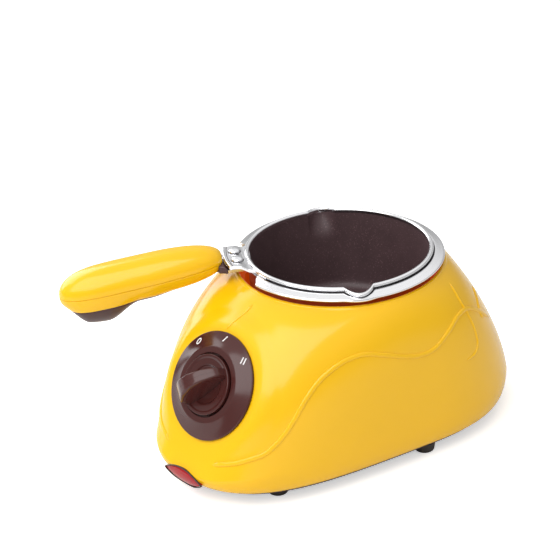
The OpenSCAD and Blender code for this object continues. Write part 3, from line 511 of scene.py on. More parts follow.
def dense_angles(count, middle, spread, gain):
    """Angles round a circle that lie closer together near a middle, by a bell-shaped weight."""
    a = np.linspace(middle - 180.0, middle + 180.0, 4001)
    weight = 1.0 + gain * np.exp(-((a - middle) / spread) ** 2)
    total = np.concatenate([[0.0], np.cumsum((weight[1:] + weight[:-1]) / 2)])
    return np.interp(np.arange(count) / count, total / total[-1], a)


def housing_shell(s, d):
    """The housing as one closed loop of rows, carried round the plan angle.

    Rows run up the outside, over the lip, down the mouth, ledge and well, and back down the
    inside, one wall in from the outside along its normal.
    """
    a = dense_angles(560, 270.0, 26.0, 0.9)[None, :]
    low = -1.0 + np.array([0.02, 0.06, 0.12, 0.2, 0.3, 0.42, 0.55, 0.7, 0.85])
    outside = np.concatenate([low, np.linspace(0.0, 1.0, 78) ** 1.05])[:, None]
    outer_rows = skin(a, outside, s, d)
    edge = skin(a, np.full((1, 1), -1.0), s, d)
    inwards = -girth(a, s) / np.linalg.norm(girth(a, s), axis=-1)[..., None]
    inwards = np.concatenate([inwards, 0 * inwards[..., :1]], axis=-1)
    foot_rows = np.concatenate([edge + inwards * 1.9, edge + inwards * 0.55,
                                edge + inwards * 0.2 + [0, 0, 0.06]])
    turn_a = np.linspace(0.0, 180.0, 13)[1:, None]
    lip_mid = s.lip_r - s.lip_w / 2
    lip_r = lip_mid + s.lip_w / 2 * cosd(turn_a)
    lip_z = s.lip_z + 0.65 * sind(turn_a)
    mouth_r = s.lip_r - s.lip_w
    out_r = s.well_r + s.wall
    well = rounded([(mouth_r, s.lip_z - 0.2), (mouth_r, s.ledge_z), (s.well_r, s.ledge_z),
                    (s.well_r, s.well_floor_z), (s.well_floor_r, s.well_floor_z),
                    (s.well_floor_r, s.well_floor_z - s.wall), (out_r, s.well_floor_z - s.wall),
                    (out_r, s.ledge_z - s.wall), (mouth_r + s.wall, s.ledge_z - s.wall)], 0.8)
    turned_r = np.concatenate([lip_r, well[:, :1]])
    turned_z = np.concatenate([lip_z, well[:, 1:]])
    mouth_rows = joined(turned_r * cosd(a), turned_r * sind(a), turned_z)
    inside = np.linspace(0.93, -1.0, 26)[:, None]
    inner_rows = skin(a, inside, s, d) - s.wall * skin_normal(a, inside, s, d)
    inner_rows[-1, :, 2] = s.skirt_z
    rows = np.concatenate([foot_rows, outer_rows, mouth_rows, inner_rows])
    tints = np.zeros(len(rows), int)
    first_turned = len(foot_rows) + len(outer_rows)
    # The mouth's wall, ledge and well take the finish with painted shade and a painted glow
    tints[first_turned + 7:first_turned + int(np.argmin(turned_r))] = 1
    return sheet(rows, closed=True, tints=tints)


# Screw posts: plan angles, radius, distance from the pot's axis, top and bore
POST_ANGLES = (40.0, 140.0, 220.0, 320.0)
POST_R = 4.5
POST_RING_R = 55.3
POST_TOP_Z = 61.0
SCREW_HOLE_R = 1.5


def screw_posts(s):
    """The four tubes inside the housing that take the base screws."""
    profile = rounded([(SCREW_HOLE_R, s.skirt_z), (POST_R, s.skirt_z), (POST_R, POST_TOP_Z),
                       (SCREW_HOLE_R, POST_TOP_Z)], 0.3, closed=True)
    post = turned(profile, spokes=48, closed=True)
    return [placed(post, (POST_RING_R * cosd(a), POST_RING_R * sind(a), 0.0)) for a in POST_ANGLES]


# Moulded lines, as (plan angle, height share on the flank) of the right-hand side

WAVE = ((281.0, 0.09), (284.5, 0.098), (287.5, 0.10), (292.0, 0.11), (297.5, 0.13),
        (302.0, 0.20), (305.0, 0.28), (308.0, 0.38), (312.0, 0.475), (318.0, 0.545),
        (323.0, 0.568), (328.0, 0.565), (336.5, 0.512), (345.0, 0.455), (353.5, 0.425),
        (361.0, 0.445), (369.2, 0.53), (376.0, 0.605), (384.0, 0.635), (391.0, 0.60),
        (398.0, 0.53), (406.0, 0.45))
REAR_FOLD = ((384.4, 0.9), (383.4, 0.74), (384.4, 0.60), (385.6, 0.47), (385.0, 0.36),
             (381.5, 0.30), (376.0, 0.28))
REAR_CREASE = ((407.0, 0.70), (400.5, 0.63), (396.0, 0.565), (395.6, 0.53), (396.4, 0.50))
NECK_LINE = ((269.8, 0.93), (269.0, 0.86), (267.8, 0.805), (266.6, 0.75))


def mirrored(knots):
    """The same line on the other side of the housing."""
    return tuple((180.0 - a, t) for a, t in knots)


def line_on_skin(knots, s, d, half_w, half_h, count=160):
    """A flattened bead along a line on the housing, which thins out to nothing at its ends."""
    path = smooth_path(knots, count)
    a, t = path[:, 0], path[:, 1]
    fade = np.sqrt(np.clip(np.minimum(np.arange(count), np.arange(count)[::-1]) / 14.0, 0.02, 1.0))
    return bead(skin(a, t, s, d), skin_normal(a, t, s, d), half_w * fade, half_h * fade)


# Indicator lens

# How far the lens stands proud, the width of its gasket, its bow across and its round up and
# down with the height of that round's middle, and where its back lies behind the nose
LENS_PROUD = 0.9
LENS_RIM = 0.55
LENS_BOW_R = 130.0
LENS_ROUND_R = 9.0
LENS_ROUND_Z = 13.2
LENS_BACK = 8.2


def almond(angle, s, grow=0.0):
    """Edge of the lens: where two circles cross, as (across, up) for an angle round its middle."""
    half_w, half_h = s.lens_w / 2, s.lens_h / 2
    r = (half_w ** 2 + half_h ** 2) / (2 * half_h)
    back = r - half_h
    up = np.abs(sind(angle))
    reach = -back * up + np.sqrt(np.maximum((r + grow) ** 2 - back ** 2 * (1 - up ** 2), 0.0))
    return reach * cosd(angle), reach * sind(angle)


def lens_front(x, z, s):
    """Y of the lens's face: a wide bow across and a tight round up and down, added together."""
    bow = LENS_BOW_R - np.sqrt(LENS_BOW_R ** 2 - x ** 2)
    fall = LENS_ROUND_R - np.sqrt(np.maximum(LENS_ROUND_R ** 2 - (z - LENS_ROUND_Z) ** 2, 0.2))
    return -s.front_reach - LENS_PROUD + bow + fall


# Base, feet and cord inlet

# Feet from front to rear, as shares of the half width and of the reach
FOOT_SIDE = (0.447, 0.83, 0.48)
FOOT_REACH = (-0.688, 0.012, 0.67)
BASE_RIM_W = 3.0
# Cord bush: neck radius, barb radius, flange thickness, and the lengths of neck and barb
BUSH_NECK_R = 5.0
BUSH_BARB_R = 5.8
BUSH_FLANGE_H = 1.6
BUSH_NECK_OVER = 2.1
BUSH_BARB_H = 3.2


def foot_profile(s):
    """Half section of a foot: a little narrower at the table, with rounded edges."""
    return rounded([(0.4, 0.0), (s.foot_r - 0.9, 0.0), (s.foot_r - 0.05, s.base_z - 0.02),
                    (0.4, s.base_z - 0.02)], [0.0, 1.0, 0.25, 0.0], steps=7)


def base_rim(s):
    """A moulded rim round the base plate's edge, from the housing's lower edge drawn inwards."""
    a = (np.arange(480) * 0.75)[None, :]
    edge = egg(a, np.full((1, 1), -1.0), s)[0]
    ahead = np.roll(edge, -1, axis=0) - np.roll(edge, 1, axis=0)
    out = joined(ahead[:, 1], -ahead[:, 0])
    out /= np.linalg.norm(out, axis=1)[:, None]
    outer = -s.base_inset + 0.05
    inner = -s.base_inset - BASE_RIM_W
    low, high = s.base_z - 0.02, s.skirt_z - 0.03
    section = rounded([(outer, low), (outer, high), (inner, high), (inner, low)], 0.7, closed=True)
    xy = edge[None, :, :2] + out[None] * section[:, None, :1]
    return sheet(joined(xy[..., 0], xy[..., 1], section[:, 1:]), closed=True)


# Pot

def straight(first, last):
    """Twelve points on the line between two points, without its ends."""
    return np.linspace(first, last, 14)[1:-1]


def pot_angles(p, h):
    """Angles round the pot: even ones, finer ones at the spouts, and a pair at each cut."""
    even = np.arange(0.0, 360.0, 0.9)
    spouts = [h.angle + side * 90.0 + np.arange(-13.0, 13.01, 0.4) for side in (-1, 1)]
    cuts = [h.angle + side * p.band_gap + np.array([-0.5, -0.1, 0.1, 0.5]) for side in (-1, 1)]
    every = np.unique(np.round(np.concatenate([even] + spouts + cuts) % 360.0, 3))
    keep = np.diff(every, append=every[0] + 360.0) > 0.07
    return every[keep]


def pot_section(p):
    """Closed half section of the pot, the tint of each of its points, and the band's slice.

    From the middle of the floor up the inside, over the rolled bead, out along the sloping
    band, and back down the outside.
    """
    foot_r = p.mouth_r + 2 * p.bead_r
    foot_z = p.rim_z - 2 * p.bead_r
    bead_mid = p.mouth_r + p.bead_r
    inside = rounded([(0.6, p.floor_z), (p.floor_r, p.floor_z), (p.mouth_r, foot_z)],
                     [0.0, p.floor_round, 0.0], steps=10)
    wall_up = straight(inside[-2], inside[-1])
    turn_a = np.linspace(180.0, -35.0, 15)
    bead_line = joined(bead_mid + p.bead_r * cosd(turn_a),
                       p.rim_z - p.bead_r + p.bead_r * sind(turn_a))
    crease = np.array([(foot_r - 0.2, foot_z - 0.1),
                       (foot_r + 0.05, foot_z - 1.0),
                       (foot_r + 0.5, foot_z - 0.95),
                       (foot_r + 0.6, foot_z - 0.05)])
    share_out = np.linspace(0.16, 0.93, 7)[:, None]
    band_in = np.array([foot_r, foot_z + 0.3])
    band_edge = np.array([p.band_r, p.band_z + 0.55])
    band_line = band_in + (band_edge - band_in) * share_out
    roll_a = np.linspace(62.0, -118.0, 8)
    roll = joined(p.band_r - 0.6 + 0.6 * cosd(roll_a), p.band_z + 0.6 * sind(roll_a))
    under = np.array([(foot_r, foot_z - 1.5),
                      (p.mouth_r + p.wall, foot_z - 1.6)])
    outside = rounded([(p.mouth_r + p.wall, foot_z - 1.8),
                       (p.floor_r + p.wall, p.floor_z - p.wall), (0.6, p.floor_z - p.wall)],
                      [0.0, p.floor_round, 0.0], steps=10)
    down = straight(outside[0], outside[1])
    line = np.concatenate([inside[:-1], wall_up, inside[-1:], bead_line, crease, band_line, roll,
                           under, outside[:1], down, outside[1:]])
    lined = len(inside) + len(wall_up)
    first_band = lined + len(bead_line) + len(crease)
    last_band = first_band + len(band_line) + len(roll)
    tints = np.zeros(len(line), int)
    tints[:lined - 1] = 1
    # The crease between the bead and the band is drawn dark grey: painted shade
    tints[lined + len(bead_line):lined + len(bead_line) + 2] = 2
    tints[last_band + 2:] = 3
    return line, tints, slice(first_band - 1, last_band)


# How many degrees the band's cut ends slant outwards, and how far round that fades out
CUT_SLANT = 9.0
CUT_FADE = 44.0


def pot_bowl(p, h):
    """The bowl: its section carried round, with the band cut back and two spouts drawn out.

    A spout moves points outwards by spout_out*(1 - (arc/width)^2) near the rim, less below it
    and less towards the band's edge, and lowers them a little.
    """
    a = pot_angles(p, h)
    line, tints, band = pot_section(p)
    r, z, a = np.broadcast_arrays(line[:, :1], line[:, 1:], a)
    side = (a - h.angle + 180.0) % 360.0 - 180.0
    off = np.abs(side)
    cut = off < p.band_gap
    tuck_r = p.mouth_r + 2 * p.bead_r
    slant = np.clip((r - tuck_r) / (p.band_r - tuck_r), 0.0, 1.0) ** 0.6 * CUT_SLANT
    near_cut = np.clip((CUT_FADE - off) / (CUT_FADE - p.band_gap), 0.0, 1.0)
    a = a + np.sign(side) * slant * near_cut
    tuck_z = p.rim_z - 2 * p.bead_r - 0.3
    on_band = np.zeros_like(r, bool)
    on_band[band] = True
    r = np.where(on_band & cut, tuck_r - 0.1 + 0.001 * (r - tuck_r), r)
    z = np.where(on_band & cut, tuck_z + 0.05 * (z - tuck_z), z)
    arc = np.radians(np.abs(off - 90.0)) * p.mouth_r
    lift = np.maximum(1.0 - (arc / p.spout_w) ** 2, 0.0)
    lift = lift ** 1.2 * smooth((z - (p.rim_z - 17.0)) / 16.0)
    far = np.clip((r - tuck_r) / (p.band_r - tuck_r), 0.0, 1.0)
    r = r + lift * (p.spout_out * (1.0 - far) + 1.5 * far)
    z = z - lift * 1.3 * (1.0 - far)
    points = joined(r * cosd(a), r * sind(a), z)
    return sheet(points, tints=tints)


# Tab: top at the pot, step up towards the handle, and bulge past its reach
TAB_TOP = 99.15
TAB_LIFT = 2.0
TAB_BULGE = 1.2


def tab_height(x, p):
    """Top of the tab: level with the rim's foot at the pot, and lifted towards the handle."""
    return TAB_TOP + TAB_LIFT * smooth((x - p.mouth_r - 2.0) / 5.5)


def tab_plate(p):
    """The tab for the handle: a pressed plate with turned-down edges, as rows that run from its
    root on the rim's arc to its bulging end, and columns that run across and round its edges."""
    s = np.linspace(0.0, 1.0, 60)[:, None]
    half = p.tab_end_w + (p.tab_root_w - p.tab_end_w) * (1.0 - s) ** 1.8
    narrow = np.sqrt(np.maximum(1.0 - ((s - 0.93) / 0.075) ** 2 * 0.13, 0.1))
    half = half * np.where(s > 0.93, narrow, 1.0)
    across = np.sin(np.linspace(-np.pi / 2, np.pi / 2, 41))[None, :]
    y = half * across
    root_x = np.sqrt((p.mouth_r + p.bead_r) ** 2 - y ** 2)
    end_x = p.tab_reach + TAB_BULGE - 1.5 * across ** 2
    x = root_x + (end_x - root_x) * s
    edge = np.clip((np.abs(across) - 0.965) / 0.035, 0.0, 1.0)
    tip = np.clip((s - 0.985) / 0.015, 0.0, 1.0)
    round_off = 0.5 * (1.0 - np.sqrt(np.maximum(1.0 - np.maximum(edge, tip) ** 2, 0.0)))
    top = joined(x, y, tab_height(x, p) - round_off)
    under = top[:, ::-1].copy()
    under[..., 2] = tab_height(under[..., 0], p) - p.wall
    return sheet(np.concatenate([top, under], axis=1))


def tab_spacer(p):
    """The block between the lifted tab and the tang, which the rivets clamp."""
    a = np.arange(64) * 360.0 / 64
    length_in = p.tab_reach - p.mouth_r - 4.0
    mid = p.mouth_r + 3.4 + length_in / 2
    level = np.array([TAB_TOP - p.wall, TAB_TOP - p.wall + 0.2, TAB_TOP + TAB_LIFT - p.wall - 0.1])
    x = mid + length_in / 2 * power(cosd(a), 0.3)
    y = (p.tab_end_w - 4.0) * power(sind(a), 0.3)
    return sheet(joined(x, y, level[:, None]))


def tab_line(p, inset, short, half_w, half_h, sides=14, tint=0):
    """A line across the tab, inset from its end and a little shorter than it is wide."""
    y = np.linspace(-p.tab_end_w + short, p.tab_end_w - short, 40)
    x = p.tab_reach + TAB_BULGE - inset - 1.5 * (y / p.tab_end_w) ** 2
    path = joined(x, y, tab_height(x, p))
    return bead(path, (0.0, 0.0, 1.0), half_w, half_h, sides, tint=tint)


def handle_axes(h):
    """Unit vectors along the handle, across it and up."""
    return (cosd(h.angle), sind(h.angle), 0.0), (-sind(h.angle), cosd(h.angle), 0.0), (0.0, 0.0, 1.0)


def rivet_profile(p):
    """Half section of a rivet: domed head with a rolled edge, shank and flared foot."""
    dome_a = np.linspace(78.0, 4.0, 9)
    head = tab_height(p.rivet_reach, p)
    dome = joined(p.rivet_r * cosd(dome_a), head + 0.3 + 1.6 * sind(dome_a))
    rest = np.array([(p.rivet_r - 0.35, head + 0.02), (1.5, head + 0.02), (1.5, 96.25),
                     (2.3, 96.2), (2.3, 95.5), (0.3, 95.45)])
    return np.concatenate([dome, rest])


# Handle

def parting(u, h):
    """Height of the parting line at reach u: it falls by a constant slope."""
    return h.tang_z + h.parting_lift - (u - h.start) * math.tan(math.radians(h.fall))


def end_share(s):
    """Size along the handle: blunt at the pot and rounder at the end."""
    k = np.where(s < 0.5, 2.8, 4.6)
    least = np.where(s < 0.5, 0.25, 0.04)
    return least + (1.0 - least) * np.sqrt(np.maximum(1.0 - np.abs(2.0 * s - 1.0) ** k, 0.0))


def under_depth(s, h):
    """Depth under the parting line: a slight step where the grip insert starts, and its bulge,
    which rises between shares 0.52 and 0.72 of the length and falls again from 0.83."""
    step = smooth((s - h.insert_share) / 0.15)
    bulge = smooth((s - 0.52) / 0.2) * (1.0 - smooth((s - 0.83) / 0.15))
    extra = h.bulge_h - h.under_h
    return end_share(s) * (h.under_h + extra * (0.14 * step + 0.86 * bulge))


def handle_points(s, a, lift, h):
    """Points of the handle's surface: half width times cos^0.92 across, depth times sin^0.92 up.

    lift is a pair of limits that the height over the parting line is kept between.
    """
    u = h.start + (h.reach - h.start) * s
    half = h.half_w * end_share(s) * (0.9 + 0.1 * s)
    high = h.top_h * end_share(s)
    deep = under_depth(s, h)
    v = half * power(cosd(a), 0.92)
    rise = np.where(sind(a) > 0, high, deep) * power(sind(a), 0.92)
    rise = np.clip(rise, lift[0], lift[1])
    u, v, rise = np.broadcast_arrays(u, v, rise)
    return joined(u, v, parting(u, h) + rise)


# Angles from the parting line up, close together where a shell's edge is rounded
NEAR_PARTING = np.array([0.0, 0.6, 1.3, 2.2, 3.4, 5.0, 7.0])


def shell_rows(count):
    """Shares along the handle, closer together at its ends."""
    return ((1.0 - cosd(np.linspace(0.0, 180.0, count))) / 2.0)[:, None]


# Round of the shells' edges, and how far the lower shell starts behind the upper one
EDGE_ROUND = 0.2
SHELL_SETBACK = 1.25


def soften(points, edge, h):
    """Draws the rim of a shell in by a quarter round where it meets a parting line."""
    rise = points[..., 2] - parting(points[..., 0], h)
    depth = np.clip(1.0 - np.abs(rise - edge) / EDGE_ROUND, 0.0, 1.0)
    pull = EDGE_ROUND * (1.0 - np.sqrt(1.0 - depth ** 2))
    v = points[..., 1]
    points[..., 1] = v - np.sign(v) * np.minimum(pull, np.abs(v))
    return points


def closed_arch(arch):
    """Rows of an arch closed by a flat side between their first and last points."""
    across = np.linspace(-1.0, 1.0, 14)[None, 1:-1]
    flat = arch[:, -1:, :] + (arch[:, :1, :] - arch[:, -1:, :]) * ((across + 1.0) / 2.0)[..., None]
    return sheet(np.concatenate([arch, flat], axis=1))


def upper_shell(h):
    """The upper shell: the top half of the handle, closed by a flat underside."""
    top = np.concatenate([NEAR_PARTING, np.linspace(10.0, 170.0, 41), 180.0 - NEAR_PARTING[::-1]])
    arch = handle_points(shell_rows(110), top[None, :], (h.gap / 2, 50.0), h)
    return closed_arch(soften(arch, h.gap / 2, h))


def lower_shell(h):
    """The lower shell: shallow where the grip insert is let into it."""
    first = SHELL_SETBACK / (h.reach - h.start)
    s = np.concatenate([np.linspace(first, h.insert_share, 34), np.linspace(h.insert_share, 1.0, 70)])
    limit = np.concatenate([np.full(34, -50.0), np.full(70, -h.seam_h)])
    s = np.where(s > 0.72, 0.72 + 0.28 * np.sin((s - 0.72) / 0.28 * np.pi / 2), s)[:, None]
    under = np.concatenate([180.0 + NEAR_PARTING, np.linspace(190.0, 350.0, 61),
                            360.0 - NEAR_PARTING[::-1]])
    arch = handle_points(s, under[None, :], (limit[:, None], -h.gap / 2), h)
    return closed_arch(soften(arch, -h.gap / 2, h))


def grip_insert(h):
    """The grip insert: the bulging underside of the handle below the seam."""
    fine = np.linspace(h.insert_share + 0.003, 0.999, 900)
    deep_enough = fine[under_depth(fine, h) > h.seam_h + h.gap + 0.15]
    first, last = deep_enough[0], deep_enough[-1]
    s = (first + (last - first) * (1.0 - cosd(np.linspace(0.0, 180.0, 90))) / 2.0)[:, None]
    deep = under_depth(s, h)
    start = np.degrees(np.arcsin(((h.seam_h + h.gap) / deep) ** (1.0 / 0.92)))
    share_round = np.linspace(0.0, 1.0, 61)[None, :]
    a = 180.0 + start + (180.0 - 2.0 * start) * share_round
    arch = handle_points(s, a, (-50.0, 0.0), h)
    return closed_arch(soften(arch, -h.seam_h - h.gap, h))


# Collar and bar: reach, half width, and lower and upper face from the tang's line
CORE_STATIONS = ((60.15, 9.3, -1.5, 1.5), (60.4, 9.5, -1.75, 1.75), (61.0, 9.1, -1.7, 2.2),
                 (62.0, 8.7, -1.65, 3.05), (64.3, 7.5, -1.65, 3.05), (64.5, 7.3, -1.6, 3.0),
                 (64.55, 5.0, -1.65, 1.65), (114.5, 5.0, -1.65, 1.65), (114.7, 4.8, -1.5, 1.5))


def handle_core(h):
    """The core: a collar and a bar, as rounded rectangles carried along the tang's line."""
    stations = np.array(CORE_STATIONS)
    a = (np.arange(48) * 7.5)[None, :]
    fall = np.maximum(stations[:, :1] - h.start, 0.0) * math.tan(math.radians(h.fall))
    mid = (stations[:, 2:3] + stations[:, 3:4]) / 2
    half = (stations[:, 3:4] - stations[:, 2:3]) / 2
    y = stations[:, 1:2] * power(cosd(a), 0.35)
    z = h.tang_z - fall + mid + half * power(sind(a), 0.35)
    return sheet(joined(stations[:, :1], y, z))


# Dial and knob

# Each mark: plan angle on the dial, direction of its strokes, and their places side by side
MARKS = ((134.0, 70.0, ()), (91.0, 66.0, (0.0,)), (49.0, 92.0, (-0.8, 0.8)))
# Inner and outer reach of a mark, half width and height of its strokes
MARK_R = (22.9, 26.3)
MARK_W = 0.34
MARK_H = 0.24
# Reach of the plate's two pegs, and radius of its bore
PEG_REACH = 23.0
PLATE_BORE_R = 7.8


def bevel_height(r, d):
    """Height of the dial plate's bevel at a radius."""
    return d.plate_h + (d.edge_h - d.plate_h) * (r - d.flat_r) / (d.plate_r - d.flat_r)


def dial_marks(d):
    """The three positions on the bevel: a ring, one bar and two bars, in the dial's frame."""
    parts = []
    mid_r = sum(MARK_R) / 2
    half = (MARK_R[1] - MARK_R[0]) / 2
    slope = (d.edge_h - d.plate_h) / (d.plate_r - d.flat_r)
    ring_a = np.arange(40) * 9.0
    for angle, slant, shifts in MARKS:
        middle = mid_r * np.array([cosd(angle), sind(angle)])
        along = np.array([cosd(slant), sind(slant)])
        side = np.array([sind(slant), -cosd(slant)])
        normal = np.array([-slope * cosd(angle), -slope * sind(angle), 1.0])
        normal /= np.linalg.norm(normal)
        strokes = [(middle + side * shift + along * np.linspace(-half, half, 16)[:, None], False)
                   for shift in shifts]
        if not strokes:
            ring = 1.65 * along * cosd(ring_a)[:, None] + side * sind(ring_a)[:, None]
            strokes = [(middle + ring, True)]
        for xy, looped in strokes:
            z = bevel_height(np.linalg.norm(xy, axis=1), d) - 0.2
            path = np.concatenate([xy, z[:, None]], axis=1)
            parts.append(bead(path, normal, MARK_W, MARK_H, 10, looped=looped))
    return parts


def dial_plate(d):
    """Turned plate: a sunk seat and a gap round the knob, a flat ring, a hollow bevel and a
    rounded edge."""
    r = np.linspace(d.flat_r, d.plate_r - 0.35, 12)
    s = (r - d.flat_r) / (d.plate_r - d.flat_r)
    bevel = joined(r, bevel_height(r, d) - 0.35 * np.sin(np.pi * s) * (1 - 0.5 * s))
    bore = PLATE_BORE_R
    middle = np.array([(bore, d.seat_h - 0.25), (bore + 0.3, d.seat_h), (d.knob_r - 0.6, d.seat_h),
                       (d.knob_r - 0.5, 1.2), (d.groove_r - 0.05, 1.2), (d.groove_r, d.plate_h - 0.2),
                       (d.groove_r + 0.2, d.plate_h), (d.groove_r + 0.6, d.plate_h + 0.02),
                       (d.flat_r - 0.6, d.plate_h), (d.flat_r - 0.2, d.plate_h - 0.03)])
    edge_a = np.linspace(70.0, 0.0, 5)
    edge = joined(d.plate_r - 0.35 + 0.35 * cosd(edge_a),
                  d.edge_h - 0.4 + 0.35 * sind(edge_a))
    back = np.array([(d.plate_r, 0.05), (d.plate_r - 0.1, 0.0), (bore + 0.3, 0.0), (bore, 0.1)])
    profile = np.concatenate([middle, bevel, edge, back])
    return turned(profile, spokes=192, closed=True)


def knob_disc(d):
    """The knob's disc: a rolled rim, a flat ring that falls a little inwards, and a dish."""
    profile = rounded([(0.5, 0.0), (d.knob_r, 0.0), (d.knob_r, d.rim_h), (d.knob_r - 1.3, d.rim_h - 0.1),
                       (d.knob_r - 2.2, d.rim_h - 0.45), (d.dish_r + 0.6, d.rim_h - 0.6),
                       (d.dish_r - 0.2, d.dish_z + 0.35), (d.dish_r - 2.5, d.dish_z), (0.5, d.dish_z)],
                      [0.0, 0.3, 0.6, 0.3, 0.4, 0.35, 0.4, 1.0, 0.0], steps=7)
    return turned(profile, spokes=160)


# How much thinner the blade is at its upper end
BLADE_WEDGE = 0.36


def knob_blade(d):
    """The grip blade: a half-moon fin whose height falls by the square of the distance from its
    middle, thicker at one end than at the other, with rounded edges."""
    level = np.array([0.0, 0.12, 0.3, 0.5, 0.7, 0.86, 0.93, 0.965, 0.985, 0.996, 1.0, 1.0, 1.0, 1.0])
    round_in = np.array([0.0, 0.0, 0.0, 0.0, 0.0, 0.03, 0.12, 0.25, 0.4, 0.6, 0.9, 1.6, 2.6, 3.77])
    half_l = d.knob_r - 1.1 - 0.5 * level - np.minimum(round_in, 0.9)
    half_w = d.blade_t / 2 * (1.14 - 0.14 * level) - round_in
    points = stacked(level, half_l, half_w, 9.0, spokes=160)
    along = points[..., 0] / (d.knob_r - 1.1)
    points[..., 1] *= 1.0 - BLADE_WEDGE * along
    points[..., 2] = d.dish_z + points[..., 2] * (d.blade_h - d.dish_z - d.blade_drop * along ** 2)
    return sheet(points)


# Finishes

def add(tree, kind, settings, links):
    """Adds a node with its settings (properties or sockets, by name or number) and its links."""
    node = tree.nodes.new(kind)
    for key, value in settings.items():
        if isinstance(key, int) or key in node.inputs:
            node.inputs[key].default_value = value
        else:
            setattr(node, key, value)
    for key, socket in links.items():
        tree.links.new(socket, node.inputs[key])
    return node


def toned(shade, factor=1.0):
    """A colour made lighter or darker, with full alpha."""
    return tuple(min(c * factor, 1.0) for c in shade[:3]) + (1.0,)


def two_tones(first, second):
    """Settings of a mix between two colours."""
    return {"data_type": "RGBA", 6: first, 7: second}


def shades(shade, low, high):
    """Settings of a mix between a darker and a lighter tone of a colour."""
    return two_tones(toned(shade, low), toned(shade, high))


def between(low, high):
    """Settings of a range that a pattern's 0 to 1 is spread over."""
    return {3: low, 4: high}


def relief(strength, depth_mm):
    """Settings of a bump of a depth in millimetres."""
    return {"Strength": strength, "Distance": depth_mm * MM}


def grain(size_mm, detail):
    """Settings of a noise that repeats about every size_mm, on Object coordinates."""
    return {"Scale": 1.0 / (size_mm * MM), "Detail": detail}


# For each input that a pattern drives: the node between them, its input and its output
DRIVERS = {"Base Color": ("ShaderNodeMix", 0, 2), "Roughness": ("ShaderNodeMapRange", 0, 0),
           "Normal": ("ShaderNodeBump", "Height", 0)}


def drive(tree, shader, pattern, targets):
    """Lets one pattern drive inputs of the shader, each with the settings of its node."""
    for name, settings in targets.items():
        kind, into, out = DRIVERS[name]
        node = add(tree, kind, settings, {into: pattern})
        tree.links.new(node.outputs[out], shader.inputs[name])


def new_finish(name, settings, layers=()):
    """A Principled material with its layers, and its tree, shader and Object coordinates.

    Each layer is a noise's size in mm, its detail, and the inputs that it drives.
    """
    finish = bpy.data.materials.new(name)
    finish.use_nodes = True
    tree = finish.node_tree
    tree.nodes.clear()
    shader = add(tree, "ShaderNodeBsdfPrincipled", settings, {})
    add(tree, "ShaderNodeOutputMaterial", {}, {"Surface": shader.outputs[0]})
    place = add(tree, "ShaderNodeTexCoord", {}, {}).outputs["Object"]
    for size_mm, detail, targets in layers:
        noise = add(tree, "ShaderNodeTexNoise", grain(size_mm, detail), {"Vector": place})
        drive(tree, shader, noise.outputs[0], targets)
    return finish, tree, shader, place


def moulded_abs(name, shade, rough, flow=0.035):
    """Injection-moulded ABS. A polished mould leaves a clear gloss with a faint orange peel,
    and the melt's flow leaves a slow drift of colour across the wall."""
    return new_finish(name, {"IOR": 1.46}, (
        (45.0, 2.0, {"Base Color": shades(shade, 1.0 - flow, 1.0 + flow)}),
        (9.0, 3.0, {"Roughness": between(rough * 0.85, rough * 1.2)}),
        (1.6, 1.0, {"Normal": relief(0.25, 0.012)})))[0]


def abs_with_painted_shade_and_glow(name, shade):
    """The inside of the thin yellow shell. Its deeper orange is painted shade inside the mouth, and
    light that soaks through it comes out red-orange, which a faint painted glow of that colour stands in
    for; the mould's unpolished side is dull."""
    glow = {"Emission Color": toned(srgb("df4e08")), "Emission Strength": 0.32}
    return new_finish(name, {"IOR": 1.5, "Roughness": 0.4, **glow}, (
        (20.0, 2.0, {"Base Color": shades(shade, 0.85, 1.1)}),))[0]


def textured_abs(name, shade, rough):
    """ABS from a spark-eroded mould: an even fine grain that scatters light. The real grain of
    about 0.1 mm can't show at this size, so it is drawn at 0.5 mm."""
    return new_finish(name, {"IOR": 1.52}, (
        (0.5, 2.0, {"Base Color": shades(shade, 0.88, 1.12),
                    "Roughness": between(rough * 0.9, rough * 1.1),
                    "Normal": relief(0.4, 0.03)}),))[0]


def plain_metal(name, shade, rough, grain_mm):
    """Small pressed or plated metal parts: even reflections broken by a slight unevenness."""
    return new_finish(name, {"Metallic": 1.0}, (
        (grain_mm, 3.0, {"Base Color": shades(shade, 0.9, 1.05),
                         "Roughness": between(rough * 0.8, rough * 1.3)}),))[0]


def red_acrylic(name, shade):
    """Tinted acrylic of an indicator: a deep clear red that glows a little at its thin edges."""
    depth = {"Subsurface Weight": 0.12, "Subsurface Scale": 0.6,
             "Subsurface Radius": (0.004, 0.0008, 0.0008)}
    return new_finish(name, {"IOR": 1.49, "Roughness": 0.1, **depth}, (
        (8.0, 1.0, {"Base Color": shades(shade, 0.85, 1.15)}),))[0]


def black_rubber(name):
    """Moulded nitrile rubber: nearly black, soft sheen, with a dusty bloom in patches."""
    bloom = two_tones(toned(srgb("1c1716")), toned(srgb("302927")))
    return new_finish(name, {"IOR": 1.52}, (
        (3.0, 4.0, {"Base Color": bloom, "Roughness": between(0.45, 0.7),
                    "Normal": relief(0.3, 0.03)}),))[0]


def lamp_glass(name):
    """Soda glass of a small neon lamp: clear with a warm cast and faint draw marks."""
    clear = {"Transmission Weight": 0.9, "Base Color": toned(srgb("ffd9a0"))}
    return new_finish(name, {"IOR": 1.5, **clear}, (
        (1.0, 2.0, {"Roughness": between(0.03, 0.12)}),))[0]


def pad_print(name):
    """White pad-printed ink: thin, matte, with a slightly uneven film."""
    film = two_tones(toned(srgb("e4dfdb")), toned(srgb("ffffff")))
    return new_finish(name, {"IOR": 1.5}, (
        (0.8, 2.0, {"Base Color": film, "Roughness": between(0.35, 0.6)}),))[0]


